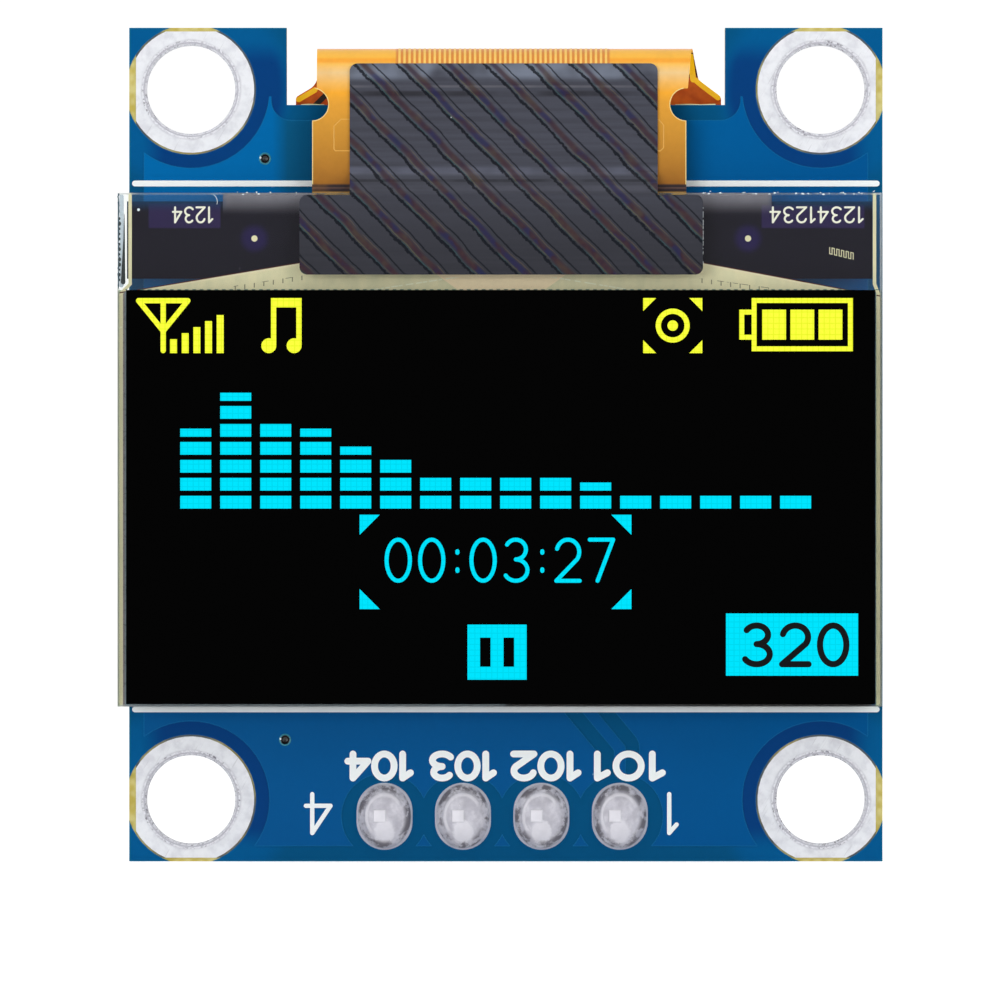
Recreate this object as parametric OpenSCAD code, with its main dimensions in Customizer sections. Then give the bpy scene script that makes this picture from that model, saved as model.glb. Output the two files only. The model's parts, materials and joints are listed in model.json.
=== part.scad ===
// Small OLED display module: a notched circuit board with a glass panel on its front,
// a flex circuit folded through the notch to the back, and a four-pin header.
// Upright: +Z up, +X to the right, the display faces -Y. The origin is the centre of the
// four mounting holes, on the front face of the board's laminate.

/* [Board] */
// Width of the board
board_w = 24.4; // [20:0.1:34]
// Height of the board
board_h = 27; // [26:0.1:34]
// Thickness of the laminate
board_t = 1.2; // [0.6:0.1:2]
// Width of the notch that the flex circuit folds through
notch_w = 14.2; // [13.9:0.1:15]
// Depth of that notch below the top edge
notch_depth = 2.5; // [2:0.1:3.2]
// Diameter of the small plated vias
via_d = 0.3; // [0.2:0.05:0.6]
// Distance from the notch's side to the upper via
via_side = 0.7; // [0.3:0.05:0.75]
// Distance from the notch's floor down to the upper via
via_drop = 1.74; // [1.4:0.02:1.9]
// Height of the lower via above the pin row
via_rise = 2.48; // [2.2:0.02:2.7]

/* [Mounting holes] */
// Finished diameter of a mounting hole
hole_d = 3; // [2:0.1:3.2]
// Distance from a hole's centre to both board edges
hole_inset = 2; // [1.9:0.1:2.6]
// Diameter of the tinned land round a hole
land_d = 4.1; // [3.6:0.05:4.2]
// Thickness of the land
land_t = 0.035; // [0.02:0.005:0.08]
// Thickness of the plated barrel in the hole
barrel_t = 0.05; // [0.03:0.01:0.1]
// Bare laminate between the land's flat and the side edge of the board
land_side_gap = 0.22; // [0.05:0.01:0.4]
// Bare laminate between the land's flat and the top or bottom edge
land_end_gap = 0.12; // [0.05:0.01:0.4]
// Diameter of the opening in the solder mask round a land
mask_opening_d = 4.22; // [4.22:0.01:4.6]
// Diameter round a hole that the copper keeps clear of
copper_keepout_d = 5.1; // [4.6:0.1:5.6]

/* [Copper and coatings] */
// Thickness of the solder mask
mask_t = 0.03; // [0.02:0.005:0.05]
// Height by which copper lifts the mask that covers it
copper_t = 0.03; // [0.02:0.005:0.07]
// Height above the notch's floor of the copper's horns between the notch and the holes
copper_horn = 0.27; // [0.1:0.01:0.4]
// Height by which tinned pads stand proud of the mask
pad_proud = 0.01; // [0.005:0.005:0.02]
// Thickness of the white print
silk_t = 0.02; // [0.01:0.005:0.04]
// Gap between the header and the line printed round it
print_gap = 0.25; // [0.2:0.01:0.3]
// Distance from a part's leads sideways to the box printed round it
print_box_side = 0.7; // [0.6:0.01:0.8]
// Distance from a part's body to the ends of the box printed round it
print_box_end = 0.55; // [0.45:0.01:0.6]
// Width of a printed line
silk_line_w = 0.19; // [0.1:0.01:0.3]
// Gap between the glass and the printed line above it
silk_line_gap = 0.23; // [0.1:0.01:0.4]
// Gap between the glass and the printed line below it
silk_line_under = 0.01; // [0.01:0.01:0.1]
// Distance from the copper to the side edges of the board
copper_side_inset = 0.48; // [0.2:0.01:0.8]
// Distance from the copper to the top and bottom edges, and to the notch
copper_end_inset = 0.5; // [0.2:0.01:0.8]
// Radius of the copper's corners beside the notch
copper_corner_r = 0.65; // [0.3:0.05:1]
// Width of the signal trace that runs to the first pin
trace_w = 0.36; // [0.2:0.01:0.6]
// Clearance on each side of that trace
trace_gap = 0.46; // [0.2:0.01:0.6]
// Length of the trace's straight part above the first pin
trace_rise = 2.2; // [1.8:0.1:2.6]
// Distance that the slanted part of the trace runs to the left
trace_shift = 1.75; // [1:0.05:2]

/* [Glass panel] */
// Width of the glass
glass_w = 24.7; // [20:0.1:34]
// Height of the front glass
glass_h = 16.6; // [15:0.1:17]
// Height of the ledge that the rear glass leaves free at the top
ledge_h = 3.14; // [2.8:0.01:4]
// Distance from the board's bottom edge to the glass
glass_rise = 5.03; // [4.6:0.01:5.2]
// Sideways offset of the glass from the board's centre
glass_x = -0.2; // [-0.5:0.05:0.5]
// Thickness of the front glass
front_glass_t = 0.5; // [0.3:0.05:0.8]
// Thickness of the rear glass
rear_glass_t = 0.5; // [0.3:0.05:0.8]
// Gap between the two glasses, filled by the light-emitting stack and its seal
cell_t = 0.02; // [0.01:0.005:0.05]
// Width of the seal round the light-emitting stack
seal_w = 0.62; // [0.4:0.01:1]
// Thickness of the polariser
polariser_t = 0.18; // [0.1:0.01:0.3]
// Clear glass beside the polariser on the left
polariser_left = 0.28; // [0.1:0.01:0.5]
// Clear glass beside the polariser on the right
polariser_right = 0.22; // [0.1:0.01:0.5]
// Clear glass below the polariser
polariser_bottom = 0.08; // [0.05:0.01:0.4]
// Thickness of the foam tape that holds the panel on the board
foam_t = 0.3; // [0.2:0.05:0.8]
// Distance from the rear glass's edges to the foam tape
foam_inset = 0.9; // [0.7:0.1:2]

/* [Glass ledge] */
// Width of the driver chip
driver_w = 9.6; // [8:0.1:11]
// Height of the driver chip
driver_h = 0.9; // [0.6:0.05:1]
// Thickness of the driver chip
driver_t = 0.3; // [0.2:0.05:0.4]
// Gap between the rear glass and the driver chip
driver_gap = 0.5; // [0.3:0.05:0.6]
// Bare strip between the rear glass and the black film
film_bottom_gap = 0.37; // [0.2:0.01:0.6]
// Bare strip above the black film at its two ends
film_top_gap = 0.27; // [0.1:0.01:0.6]
// Width of the bare strip above the left end of the film
film_left_step = 3.4; // [2:0.1:4]
// Width of the bare strip above the right end of the film
film_right_step = 3.55; // [2:0.1:4]
// Distance from the film's ends to the glass's edges
film_side_gap = 0.3; // [0.25:0.01:0.6]
// Rise of the electrode fan towards the tape
fan_rise = 0.9; // [0.5:0.05:1.2]
// Width of an electrode line along the panel's sides
electrode_w = 0.11; // [0.06:0.01:0.16]
// Distance from the outer electrode lines to the glass's side edges beside the polariser
electrode_edge = 0.11; // [0.1:0.01:0.14]
// Distance from the left edge of the glass to the electrode line along the ledge
electrode_left = 0.4; // [0.3:0.01:0.5]
// Distance from the right edge of the glass to the electrode line along the ledge
electrode_right = 0.23; // [0.2:0.01:0.3]
// Distance from the right edge of the glass to the electrode fan
fan_right = 1.1; // [0.7:0.05:1.4]
// Distance from the tape's bar to the alignment dots
dot_gap = 1.46; // [1:0.02:1.8]
// Distance from the glass's top edge down to the alignment dots
dot_drop = 1.47; // [1.2:0.01:1.8]
// Gap between the rear glass and the foot of the electrode fan
fan_foot = 0.02; // [0:0.01:0.1]
// Height over which the side electrodes step outwards beside the polariser
electrode_jog = 0.3; // [0.2:0.02:0.4]
// Gap between the lower end of the side electrodes and the glass's bottom edge
electrode_end = 0.05; // [0.02:0.01:0.2]
// Diameter of the alignment dots
dot_d = 0.2; // [0.1:0.02:0.4]

/* [Flex circuit] */
// Thickness of the flex circuit
flex_t = 0.12; // [0.08:0.01:0.2]
// Width of the flex circuit in front of the board
flex_w = 12.1; // [11:0.1:12.6]
// Sideways place of its front run
flex_x = -0.215; // [-0.4:0.01:0.4]
// Height of its bonded strip on the glass
flex_bond_h = 1.2; // [0.8:0.1:1.3]
// Distance from the board's top edge down to the top of the fold
fold_drop = 0.67; // [0.3:0.01:0.8]
// Distance by which the fold's right side has flared out at its top
fold_right_out = 0.18; // [0:0.01:0.2]
// Distance that the ear's side stands out from the fold's right side where they meet
ear_lead = 0.03; // [0.02:0.01:0.1]
// Radius of the relief notches where the fold begins
relief_r = 0.52; // [0.3:0.01:0.7]
// Width of the tail behind the board
tail_w = 13.8; // [12.8:0.1:13.8]
// Sideways place of the tail
tail_x = 0.085; // [-0.1:0.01:0.1]
// Width of the tail's neck where it flares
neck_w = 12.4; // [12.1:0.1:12.8]
// Height of the flared shoulder above the notch floor
shoulder_top = 0.7; // [0.5:0.05:0.8]
// Height of the tail's full width above the notch floor
shoulder_bottom = 0.28; // [0.1:0.02:0.4]
// Radius of the tail's ears
ear_r = 0.14; // [0.05:0.01:0.2]
// Radius of the waist between the fold and the ears
waist_r = 0.5; // [0.2:0.05:0.6]
// Length of the tail below the notch floor
tail_length = 3.6; // [3:0.1:4]
// Number of soldered fingers on the tail
finger_count = 30; // [20:1:30]
// Spacing of the fingers
finger_pitch = 0.43; // [0.36:0.01:0.44]
// Width of a finger
finger_w = 0.22; // [0.14:0.01:0.26]
// Length of a finger's solder on the board
finger_h = 1.3; // [0.8:0.1:1.6]
// Length over which that solder stands as high as the tail
finger_top = 0.3; // [0.1:0.02:0.5]
// Gap in the copper below the fingers
finger_keepout = 0.15; // [0.05:0.01:0.2]

/* [Light-shield tape] */
// Thickness of the tape
tape_t = 0.08; // [0.05:0.01:0.12]
// Width of the tape's bar on the glass
tape_bar_w = 13.04; // [12:0.02:14]
// Width of the tape's stem on the flex circuit
tape_stem_w = 9.96; // [8:0.02:11]
// Sideways place of the bar
tape_bar_x = -0.15; // [-0.4:0.01:0.4]
// Sideways place of the stem
tape_stem_x = -0.07; // [-0.3:0.01:0.3]
// Distance from the rear glass's top edge up to the bar
tape_bar_rise = 0.5; // [0.3:0.01:0.7]
// Distance from the glass's top edge down to the top of the bar
tape_bar_drop = 0.06; // [0.02:0.01:0.3]
// Distance that the tape carries on past the glass's edge before it steps down
tape_overrun = 0.02; // [0.01:0.01:0.1]
// Height over which the tape steps down from the glass to the flex circuit
tape_step_h = 0.7; // [0.4:0.05:1]
// Distance from the top of the fold down to the tape's top edge
tape_top_drop = 0.5; // [0.3:0.05:0.9]
// Corner radius of the tape
tape_corner_r = 0.25; // [0.1:0.01:0.5]

/* [Header] */
// Number of pins
pin_count = 4; // [4:1:4]
// Pin spacing
pin_pitch = 2.54; // [2:0.01:2.54]
// Side of a square pin
pin_w = 0.64; // [0.5:0.01:0.64]
// Height of the pin row above the board's bottom edge
pin_row_rise = 1.46; // [1.3:0.01:1.6]
// Sideways place of the pin row
pin_row_x = -0.12; // [-0.4:0.01:0.4]
// Diameter of a plated pin hole in the board
drill_d = 1; // [0.95:0.01:1.1]
// Depth of the plastic housing, across the row
housing_w = 2.5; // [2.2:0.05:2.5]
// Height of the plastic housing, off the board
housing_t = 2.54; // [2:0.01:3]
// Bevel between two ways of the housing
housing_bevel = 0.4; // [0.2:0.05:0.6]
// Length of a pin beyond the housing
pin_reach = 6; // [3:0.1:9]
// Length of a pin's tip in front of the board
pin_tip = 0.5; // [0.3:0.05:0.6]
// Taper at a pin's ends
pin_taper = 0.15; // [0.1:0.01:0.25]
// Width of a solder joint
joint_w = 1.81; // [1.5:0.01:2]
// Height of a solder joint along the board
joint_h = 2.17; // [2.05:0.01:2.4]
// Rise of a solder joint's dome
joint_rise = 0.62; // [0.55:0.01:0.9]
// Diameter round a pin that the copper keeps clear of
pin_keepout_d = 2.8; // [2.5:0.1:3]

/* [Parts on the back] */
// Length of a chip capacitor or resistor
chip_l = 1.6; // [1.2:0.1:1.8]
// Width of a chip capacitor or resistor
chip_w = 0.8; // [0.5:0.1:1]
// Height of a chip capacitor
capacitor_t = 0.8; // [0.5:0.1:1]
// Height of a chip resistor
resistor_t = 0.45; // [0.3:0.05:0.6]
// Length of the metal cap on a chip's end
chip_cap_l = 0.35; // [0.2:0.05:0.4]
// Amount by which the metal caps stand proud of the chip
chip_cap_proud = 0.02; // [0.01:0.01:0.05]
// Spacing of the capacitors below the flex tail
capacitor_pitch = 2; // [1.6:0.1:2.2]
// Gap between the flex tail's pads and the row of capacitors
row_gap = 0.9; // [0.6:0.1:1.4]
// Distance from the capacitors down to the row of upright resistors
resistor_drop = 5.8; // [4:0.1:6.4]
// Height of the lying resistors above the pin row
resistor_rise = 5.44; // [4:0.02:6]
// Distance from the last resistor to the board's side edge
resistor_inset = 3.8; // [3:0.1:4.4]
// Gap in the copper round a part's pads
part_keepout = 0.2; // [0.1:0.02:0.3]
// Gap in the copper round a moulded part and its leads
body_margin = 0.5; // [0.3:0.02:0.5]
// Length of the solder fillet at a chip's end
fillet_l = 0.3; // [0.2:0.05:0.4]
// Distance from the board's middle to the regulator
regulator_side = 6.4; // [6:0.1:6.8]
// Height of the regulator above the pin row
regulator_rise = 6.84; // [5:0.1:7.4]
// Distance from the regulator to the capacitor on each side of it
capacitor_side = 3; // [2.8:0.1:3.1]
// Length of the voltage regulator's body
regulator_l = 2.9; // [2.4:0.1:3]
// Width of the regulator's body
regulator_w = 1.3; // [1.1:0.1:1.6]
// Height of the regulator's body
regulator_t = 0.95; // [0.7:0.05:1.1]
// Span over the regulator's leads
regulator_span = 2.4; // [2.2:0.1:2.8]
// Spacing of the two leads on one side of the regulator
regulator_lead_pitch = 1.9; // [1.5:0.1:1.9]
// Width of a lead
lead_w = 0.4; // [0.3:0.05:0.5]
// Thickness of a lead
lead_t = 0.12; // [0.1:0.01:0.2]
// Length of the foot of a lead
lead_foot = 0.3; // [0.2:0.02:0.36]
// Margin of a pad beside the foot of a lead
lead_pad = 0.1; // [0.05:0.01:0.15]
// Distance that a pad reaches beyond the tip of a lead
lead_toe = 0.3; // [0.1:0.01:0.3]
// Slope of a moulded body's sides
mould_slope = 0.08; // [0.04:0.01:0.15]
// Distance from the regulator sideways to the diode
diode_shift = 0.6; // [0:0.1:1]
// Distance from the regulator up to the diode
diode_rise = 4.4; // [3.4:0.1:5]
// Length of the diode's body
diode_l = 1.7; // [1.4:0.1:1.8]
// Width of the diode's body
diode_w = 1.25; // [1:0.05:1.4]
// Height of the diode's body
diode_t = 0.9; // [0.6:0.05:1]
// Span over the diode's leads
diode_span = 2.5; // [2.3:0.1:2.7]

/* [Lit picture] */
// Thickness of the lit layer on the polariser
lit_t = 0.02; // [0.01:0.005:0.04]
// Width of the lit picture
picture_w = 23.33; // [22.5:0.01:23.4]
// Left edge of the picture from the polariser's left edge
picture_left = 0.32; // [0.1:0.01:0.5]
// Top edge of the picture from the polariser's top edge
picture_top = 0.26; // [0.1:0.01:0.5]
// Line width of the small icons
icon_line = 0.17; // [0.1:0.01:0.22]
// Height of the icons in the top row
icon_h = 1.78; // [1.5:0.01:2]
// Width of the antenna sign
antenna_w = 1.76; // [1.2:0.02:2]
// Distance from the picture's left edge to the signal bars
signal_x = 1.1; // [1.1:0.02:1.5]
// Distance from the picture's left edge to the note sign
note_x = 4.05; // [3.6:0.05:6]
// Width of the target sign
target_w = 1.91; // [1.6:0.01:2.1]
// Diameter of the ring in the target sign
target_ring_d = 1.1; // [0.8:0.05:1.2]
// Size of the corner marks of the target sign
target_wedge = 0.42; // [0.2:0.02:0.5]
// Distance from the picture's right edge to the middle of the target sign
target_inset = 5.99; // [5.5:0.01:7]
// Distance from the picture's right edge to the battery
battery_inset = 0.17; // [0:0.01:0.5]
// Number of signal bars
signal_count = 5; // [3:1:6]
// Spacing of the signal bars
signal_pitch = 0.377; // [0.3:0.005:0.4]
// Width of a signal bar
signal_w = 0.225; // [0.12:0.005:0.27]
// Height of the first signal bar
signal_first = 0.45; // [0.3:0.01:0.6]
// Gain in height from one signal bar to the next
signal_step = 0.195; // [0.1:0.005:0.2]
// Width of the battery outline
battery_w = 3.27; // [3:0.01:3.4]
// Height of the battery outline
battery_h = 1.72; // [1.5:0.01:1.9]
// Width of the battery's terminal
battery_nub = 0.4; // [0.3:0.02:0.6]
// Wall of the battery outline
battery_wall = 0.16; // [0.1:0.01:0.2]
// Number of cells in the battery
cell_count = 3; // [2:1:3]
// Spacing of those cells
cell_pitch = 0.91; // [0.85:0.01:0.95]
// Width of a cell
cell_w = 0.77; // [0.5:0.01:0.8]
// Height of a cell
cell_h = 0.97; // [0.7:0.01:1.1]
// Spacing of the spectrum's columns
column_pitch = 1.292; // [1.1:0.001:1.3]
// Width of a spectrum column
column_w = 1; // [0.7:0.01:1.04]
// Vertical spacing of the spectrum's segments
segment_pitch = 0.58; // [0.5:0.01:0.6]
// Height of a segment
segment_h = 0.41; // [0.3:0.01:0.46]
// Height of the thin segment that tops some columns
peak_h = 0.26; // [0.15:0.01:0.3]
// Distance from the picture's left edge to the spectrum
spectrum_x = 1.43; // [0.8:0.01:2]
// Distance from the picture's top to the foot of the spectrum
spectrum_drop = 6.8; // [6.6:0.01:6.9]
// Width of the frame of corner marks below the spectrum
title_w = 8.78; // [8:0.01:9]
// Height of that frame
title_h = 3.05; // [2.6:0.01:3.1]
// Gap between the spectrum's foot and that frame
title_gap = 0.2; // [0.1:0.01:0.4]
// Distance from the picture's middle to the left, where that frame is centred
title_shift = 0.05; // [0:0.01:0.2]
// Size of a corner mark
wedge = 0.65; // [0.4:0.01:0.8]
// Width of the pause sign
pause_w = 1.91; // [1.5:0.01:2.1]
// Height of the pause sign
pause_h = 1.78; // [1.5:0.01:1.9]
// Width of a slot in the pause sign
pause_slot_w = 0.34; // [0.2:0.01:0.4]
// Height of a slot in the pause sign
pause_slot_h = 0.94; // [0.6:0.02:1.1]
// Distance between the middles of the two slots
pause_slot_pitch = 0.76; // [0.6:0.02:0.9]
// Gap between the frame and the pause sign
pause_gap = 0.5; // [0.3:0.01:0.6]
// Gap between the level of the frame's foot and the number box
box_gap = 0.14; // [0:0.01:0.3]
// Width of the plain number box
box_w = 4.27; // [3.5:0.01:4.4]
// Height of the plain number box
box_h = 2.01; // [1.6:0.01:2.2]

/* [Hidden] */
$fn = 48;
cut = 0.5; // how far a cutting shape runs past the face it cuts

// Levels off the laminate, the same on both faces
coat = mask_t + copper_t;
pad_t = mask_t + pad_proud;

// Board and hole pattern
hole_x = board_w / 2 - hole_inset;
hole_z = board_h / 2 - hole_inset;
notch_floor = board_h / 2 - notch_depth;
hole_places = [[-hole_x, hole_z], [hole_x, hole_z], [-hole_x, -hole_z], [hole_x, -hole_z]];

// Glass panel, in the plan of the board
glass_left = glass_x - glass_w / 2;
glass_right = glass_x + glass_w / 2;
glass_bottom = -board_h / 2 + glass_rise;
glass_top = glass_bottom + glass_h;
ledge_bottom = glass_top - ledge_h;

// Depths of the panel's layers in front of the laminate, each the layer's rear face
foam_depth = coat;
rear_glass_depth = foam_depth + foam_t;
cell_depth = rear_glass_depth + rear_glass_t;
front_glass_depth = cell_depth + cell_t;
polariser_depth = front_glass_depth + front_glass_t;
lit_depth = polariser_depth + polariser_t;

// Polariser and the lit picture on it
polariser_l = glass_left + polariser_left;
polariser_r = glass_right - polariser_right;
polariser_b = glass_bottom + polariser_bottom;
picture_x = polariser_l + picture_left;
picture_z = ledge_bottom - picture_top;

// Flex circuit: its front run lies on the back of the ledge, its tail on the back of the board
flex_front_y = -cell_depth;
flex_back_y = board_t + coat + flex_t;
fold_r = (flex_back_y - flex_front_y) / 2;
fold_y = (flex_back_y + flex_front_y) / 2;
fold_top = board_h / 2 - fold_drop;
fold_z = fold_top - fold_r;
tail_end = notch_floor - tail_length;
fold_left = tail_x - neck_w / 2;
fold_right = flex_x + flex_w / 2 + fold_right_out;
ear_start = fold_right + ear_lead;
ear_slope = (tail_x + neck_w / 2 - ear_start) / (fold_top - notch_floor - shoulder_top);

// Tape
tape_bar_bottom = ledge_bottom + tape_bar_rise;
tape_bar_top = glass_top - tape_bar_drop;
tape_top = fold_top - tape_top_drop;

// Header
pin_z = -board_h / 2 + pin_row_rise;
pin_places = [for (i = [0 : pin_count - 1]) [pin_row_x + (pin_count - 1 - 2 * i) * pin_pitch / 2, pin_z]];
housing_y = board_t + coat;

// Small vias beside the notch and above the pin row
via_places = [[-notch_w / 2 - via_side, notch_floor - via_drop], [-notch_w / 2 - via_d / 6, pin_z + via_rise]];

// Parts on the back: centre, and turned upright or not. The capacitors stand in a row below the
// flex tail, with one on each side of the regulator. The resistors stand in a row of three, lie
// in a row of two above the header, and one stands beside the right-hand holes
row_z = tail_end - finger_h - chip_l / 2 - row_gap;
regulator_place = [-regulator_side, pin_z + regulator_rise];
diode_place = regulator_place + [-diode_shift, diode_rise];
capacitor_places = concat(
    [for (i = [-2.5 : 2.5]) [i * capacitor_pitch, row_z, 90]],
    [for (s = [-1, 1]) [regulator_place[0] + s * capacitor_side, regulator_place[1], 90]]);
resistor_places = concat(
    [for (i = [0.5 : 2.5]) [i * capacitor_pitch, row_z - resistor_drop, 90]],
    [for (i = [0.5, 1.5]) [i * 2 * chip_l, pin_z + resistor_rise, 0]],
    [[board_w / 2 - resistor_inset, regulator_place[1], 90]]);

// Spectrum: full segments in each column, and the columns with a thin segment on top
column_levels = [4, 6, 5, 4, 3, 3, 2, 2, 2, 2, 1, 1, 1, 1, 1, 1];
peak_columns = [0, 1, 3, 4, 10];

// ---- placing helpers ----------------------------------------------------------------

// A flat outline, given as X and Z, raised off the front of the laminate
module on_front(depth, t) {
    translate([0, -depth, 0]) rotate([90, 0, 0]) linear_extrude(t) children();
}

// The same off the back of the laminate
module on_back(depth, t) {
    translate([0, board_t + depth + t, 0]) rotate([90, 0, 0]) linear_extrude(t) children();
}

// A section, given as Y and Z, carried along X
module along_x(x, w) {
    translate([x, 0, 0]) rotate([90, 0, 90]) linear_extrude(w) children();
}

// A round rod along Y
module rod_y(x, z, y, length, d) {
    translate([x, y + length, z]) rotate([90, 0, 0]) cylinder(h = length, d = d);
}

// A rectangle by its corner and size
module area(x, z, w, h) {
    translate([x, z]) square([w, h]);
}

// A straight line of round ends between two points
module stroke(a, b, w) {
    length = norm(b - a);
    translate(a) rotate(atan2(b[1] - a[1], b[0] - a[0])) translate([0, -w / 2]) square([length, w]);
    translate(a) circle(d = w);
    translate(b) circle(d = w);
}

// A stroke through several points
module path(points, w) {
    for (i = [1 : len(points) - 1]) stroke(points[i - 1], points[i], w);
}

// ---- board --------------------------------------------------------------------------

module board_outline() {
    difference() {
        square([board_w, board_h], center = true);
        area(-notch_w / 2, notch_floor, notch_w, notch_depth + cut);
    }
}

module via_holes() {
    for (p = via_places) translate(p) circle(d = via_d);
}

module board_laminate() {
    color("khaki") translate([0, board_t, 0]) rotate([90, 0, 0]) linear_extrude(board_t) difference() {
        board_outline();
        for (p = hole_places) translate(p) circle(d = hole_d + 2 * barrel_t);
        for (p = pin_places) translate(p) circle(d = drill_d);
        via_holes();
    }
}

// The straight oval of a pin's pad, which is also the foot of its solder joint
module pin_pad(p) {
    straight = joint_h - joint_w;
    area(p[0] - joint_w / 2, p[1] - straight / 2, joint_w, straight);
    for (s = [-1, 1]) translate([p[0], p[1] + s * straight / 2]) circle(d = joint_w);
}

// The trace from under the panel to the first pin
trace_points = [
    pin_places[0] + [-trace_shift, trace_rise + 1.2 * trace_shift],
    pin_places[0] + [0, trace_rise],
    pin_places[0]];

// The copper that is flooded over a face, with rounded corners beside the notch
module copper_flood() {
    difference() {
        square([board_w - 2 * copper_side_inset, board_h - 2 * copper_end_inset], center = true);
        offset(r = copper_corner_r) area(
            -notch_w / 2 - copper_end_inset + copper_corner_r, notch_floor - copper_end_inset + copper_corner_r,
            notch_w + 2 * (copper_end_inset - copper_corner_r), board_h);
        for (p = hole_places) translate(p) circle(d = copper_keepout_d);
        for (p = pin_places) translate(p) circle(d = pin_keepout_d);
        area(-board_w, notch_floor + copper_horn, 2 * board_w, board_h);
    }
}

module front_copper() {
    difference() {
        copper_flood();
        path(trace_points, trace_w + 2 * trace_gap);
    }
    difference() {
        path(trace_points, trace_w);
        translate(pin_places[0]) circle(d = pin_keepout_d);
    }
}

// What both masks cover, apart from the parts' pads
module mask_outline() {
    difference() {
        board_outline();
        for (p = hole_places) translate(p) circle(d = mask_opening_d);
        via_holes();
    }
}

module front_solder_mask() {
    color("#0A4F8C") {
        on_front(0, mask_t) difference() {
            mask_outline();
            for (p = pin_places) pin_pad(p);
        }
        on_front(mask_t, copper_t) intersection() {
            mask_outline();
            front_copper();
        }
    }
}

module back_copper() {
    difference() {
        copper_flood();
        for (p = capacitor_places) chip_keepout(p);
        for (p = resistor_places) chip_keepout(p);
        body_keepout(regulator_place, regulator_span, regulator_l);
        body_keepout(diode_place, diode_span, diode_w);
        fingers(finger_keepout);
    }
}

module back_solder_mask() {
    color("#0A4F8C") {
        on_back(0, mask_t) difference() {
            mask_outline();
            component_pads();
            fingers(0);
            for (p = pin_places) translate(p) circle(d = drill_d);
        }
        on_back(mask_t, copper_t) intersection() {
            mask_outline();
            back_copper();
        }
    }
}

// A printed shape lies on the mask alone, and follows the step that the copper makes in it
module printed_front() {
    on_front(coat, silk_t) intersection() {
        mask_outline();
        children();
    }
    on_front(mask_t, copper_t) difference() {
        intersection() {
            mask_outline();
            children();
        }
        front_copper();
    }
}

module printed_back() {
    on_back(coat, silk_t) intersection() {
        mask_outline();
        children();
    }
    on_back(mask_t, copper_t) difference() {
        intersection() {
            mask_outline();
            children();
        }
        back_copper();
    }
}

// Lines above and below the panel
module front_lines() {
    reach = board_w / 2 - silk_line_w;
    upper = glass_top + silk_line_gap + silk_line_w / 2;
    lower = glass_bottom - silk_line_under - silk_line_w / 2;
    stroke([-reach, upper], [reach, upper], silk_line_w);
    stroke([-reach, lower], [reach, lower], silk_line_w);
}

module front_print() {
    color("white") printed_front() front_lines();
}

// An outline with square corners
module frame_line(middle, w, h, line) {
    translate(middle) difference() {
        square([w + line, h + line], center = true);
        square([w - line, h - line], center = true);
    }
}

// Three sides of a box round the header, boxes round the regulator and the diode, and short
// bars between the capacitors
module back_lines() {
    side = pin_count * pin_pitch / 2 + print_gap;
    path([
        [pin_row_x - side, pin_z - housing_w / 2 + silk_line_w / 2],
        [pin_row_x - side, pin_z + housing_w / 2 + print_gap],
        [pin_row_x + side, pin_z + housing_w / 2 + print_gap],
        [pin_row_x + side, pin_z - housing_w / 2 + silk_line_w / 2]], silk_line_w);
    frame_line(regulator_place,
        regulator_span + 2 * print_box_side, regulator_l + 2 * print_box_end, silk_line_w);
    frame_line(diode_place, diode_span + 2 * print_box_side, diode_w + 2 * print_box_end, silk_line_w);
    for (i = [-3 : 3]) stroke(
        [i * capacitor_pitch, row_z - chip_l / 2], [i * capacitor_pitch, row_z + chip_l / 2], silk_line_w);
}

module back_print() {
    color("white") printed_back() back_lines();
}

// Land on both faces and the plated barrel between them
module mounting_land(p) {
    color("silver") difference() {
        union() {
            rod_y(p[0], p[1], 0, board_t, hole_d + 2 * barrel_t);
            on_front(0, land_t) land_outline(p);
            on_back(0, land_t) land_outline(p);
        }
        rod_y(p[0], p[1], -cut, board_t + 2 * cut, hole_d);
    }
}

module land_outline(p) {
    intersection() {
        translate(p) circle(d = land_d);
        square([board_w - 2 * land_side_gap, board_h - 2 * land_end_gap], center = true);
    }
}

// ---- header -------------------------------------------------------------------------

// One way of the housing, a square with bevelled corners
module housing_way() {
    difference() {
        square([pin_pitch, housing_w], center = true);
        for (sx = [-1, 1], sz = [-1, 1]) translate([sx * pin_pitch / 2, sz * housing_w / 2])
            rotate(45) square(housing_bevel * sqrt(2), center = true);
    }
}

module header_housing() {
    color("#1A1A1A") on_back(coat, housing_t) difference() {
        for (p = pin_places) translate(p) housing_way();
        for (p = pin_places) translate(p) square(pin_w, center = true);
    }
}

// The side view of a pin: straight with a taper at each end
module pin_profile(front, back) {
    thin = pin_w / 2 - pin_taper;
    polygon([
        [front, -thin], [front + 2 * pin_taper, -pin_w / 2],
        [back - 2 * pin_taper, -pin_w / 2], [back, -thin],
        [back, thin], [back - 2 * pin_taper, pin_w / 2],
        [front + 2 * pin_taper, pin_w / 2], [front, thin]]);
}

module header_pin(p) {
    front = -pin_tip;
    back = housing_y + housing_t + pin_reach;
    color("goldenrod") intersection() {
        translate([p[0] - pin_w / 2, 0, p[1]]) rotate([90, 0, 90]) linear_extrude(pin_w) pin_profile(front, back);
        translate([p[0], 0, p[1] - pin_w / 2]) rotate(90) linear_extrude(pin_w) pin_profile(front, back);
    }
}

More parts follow.
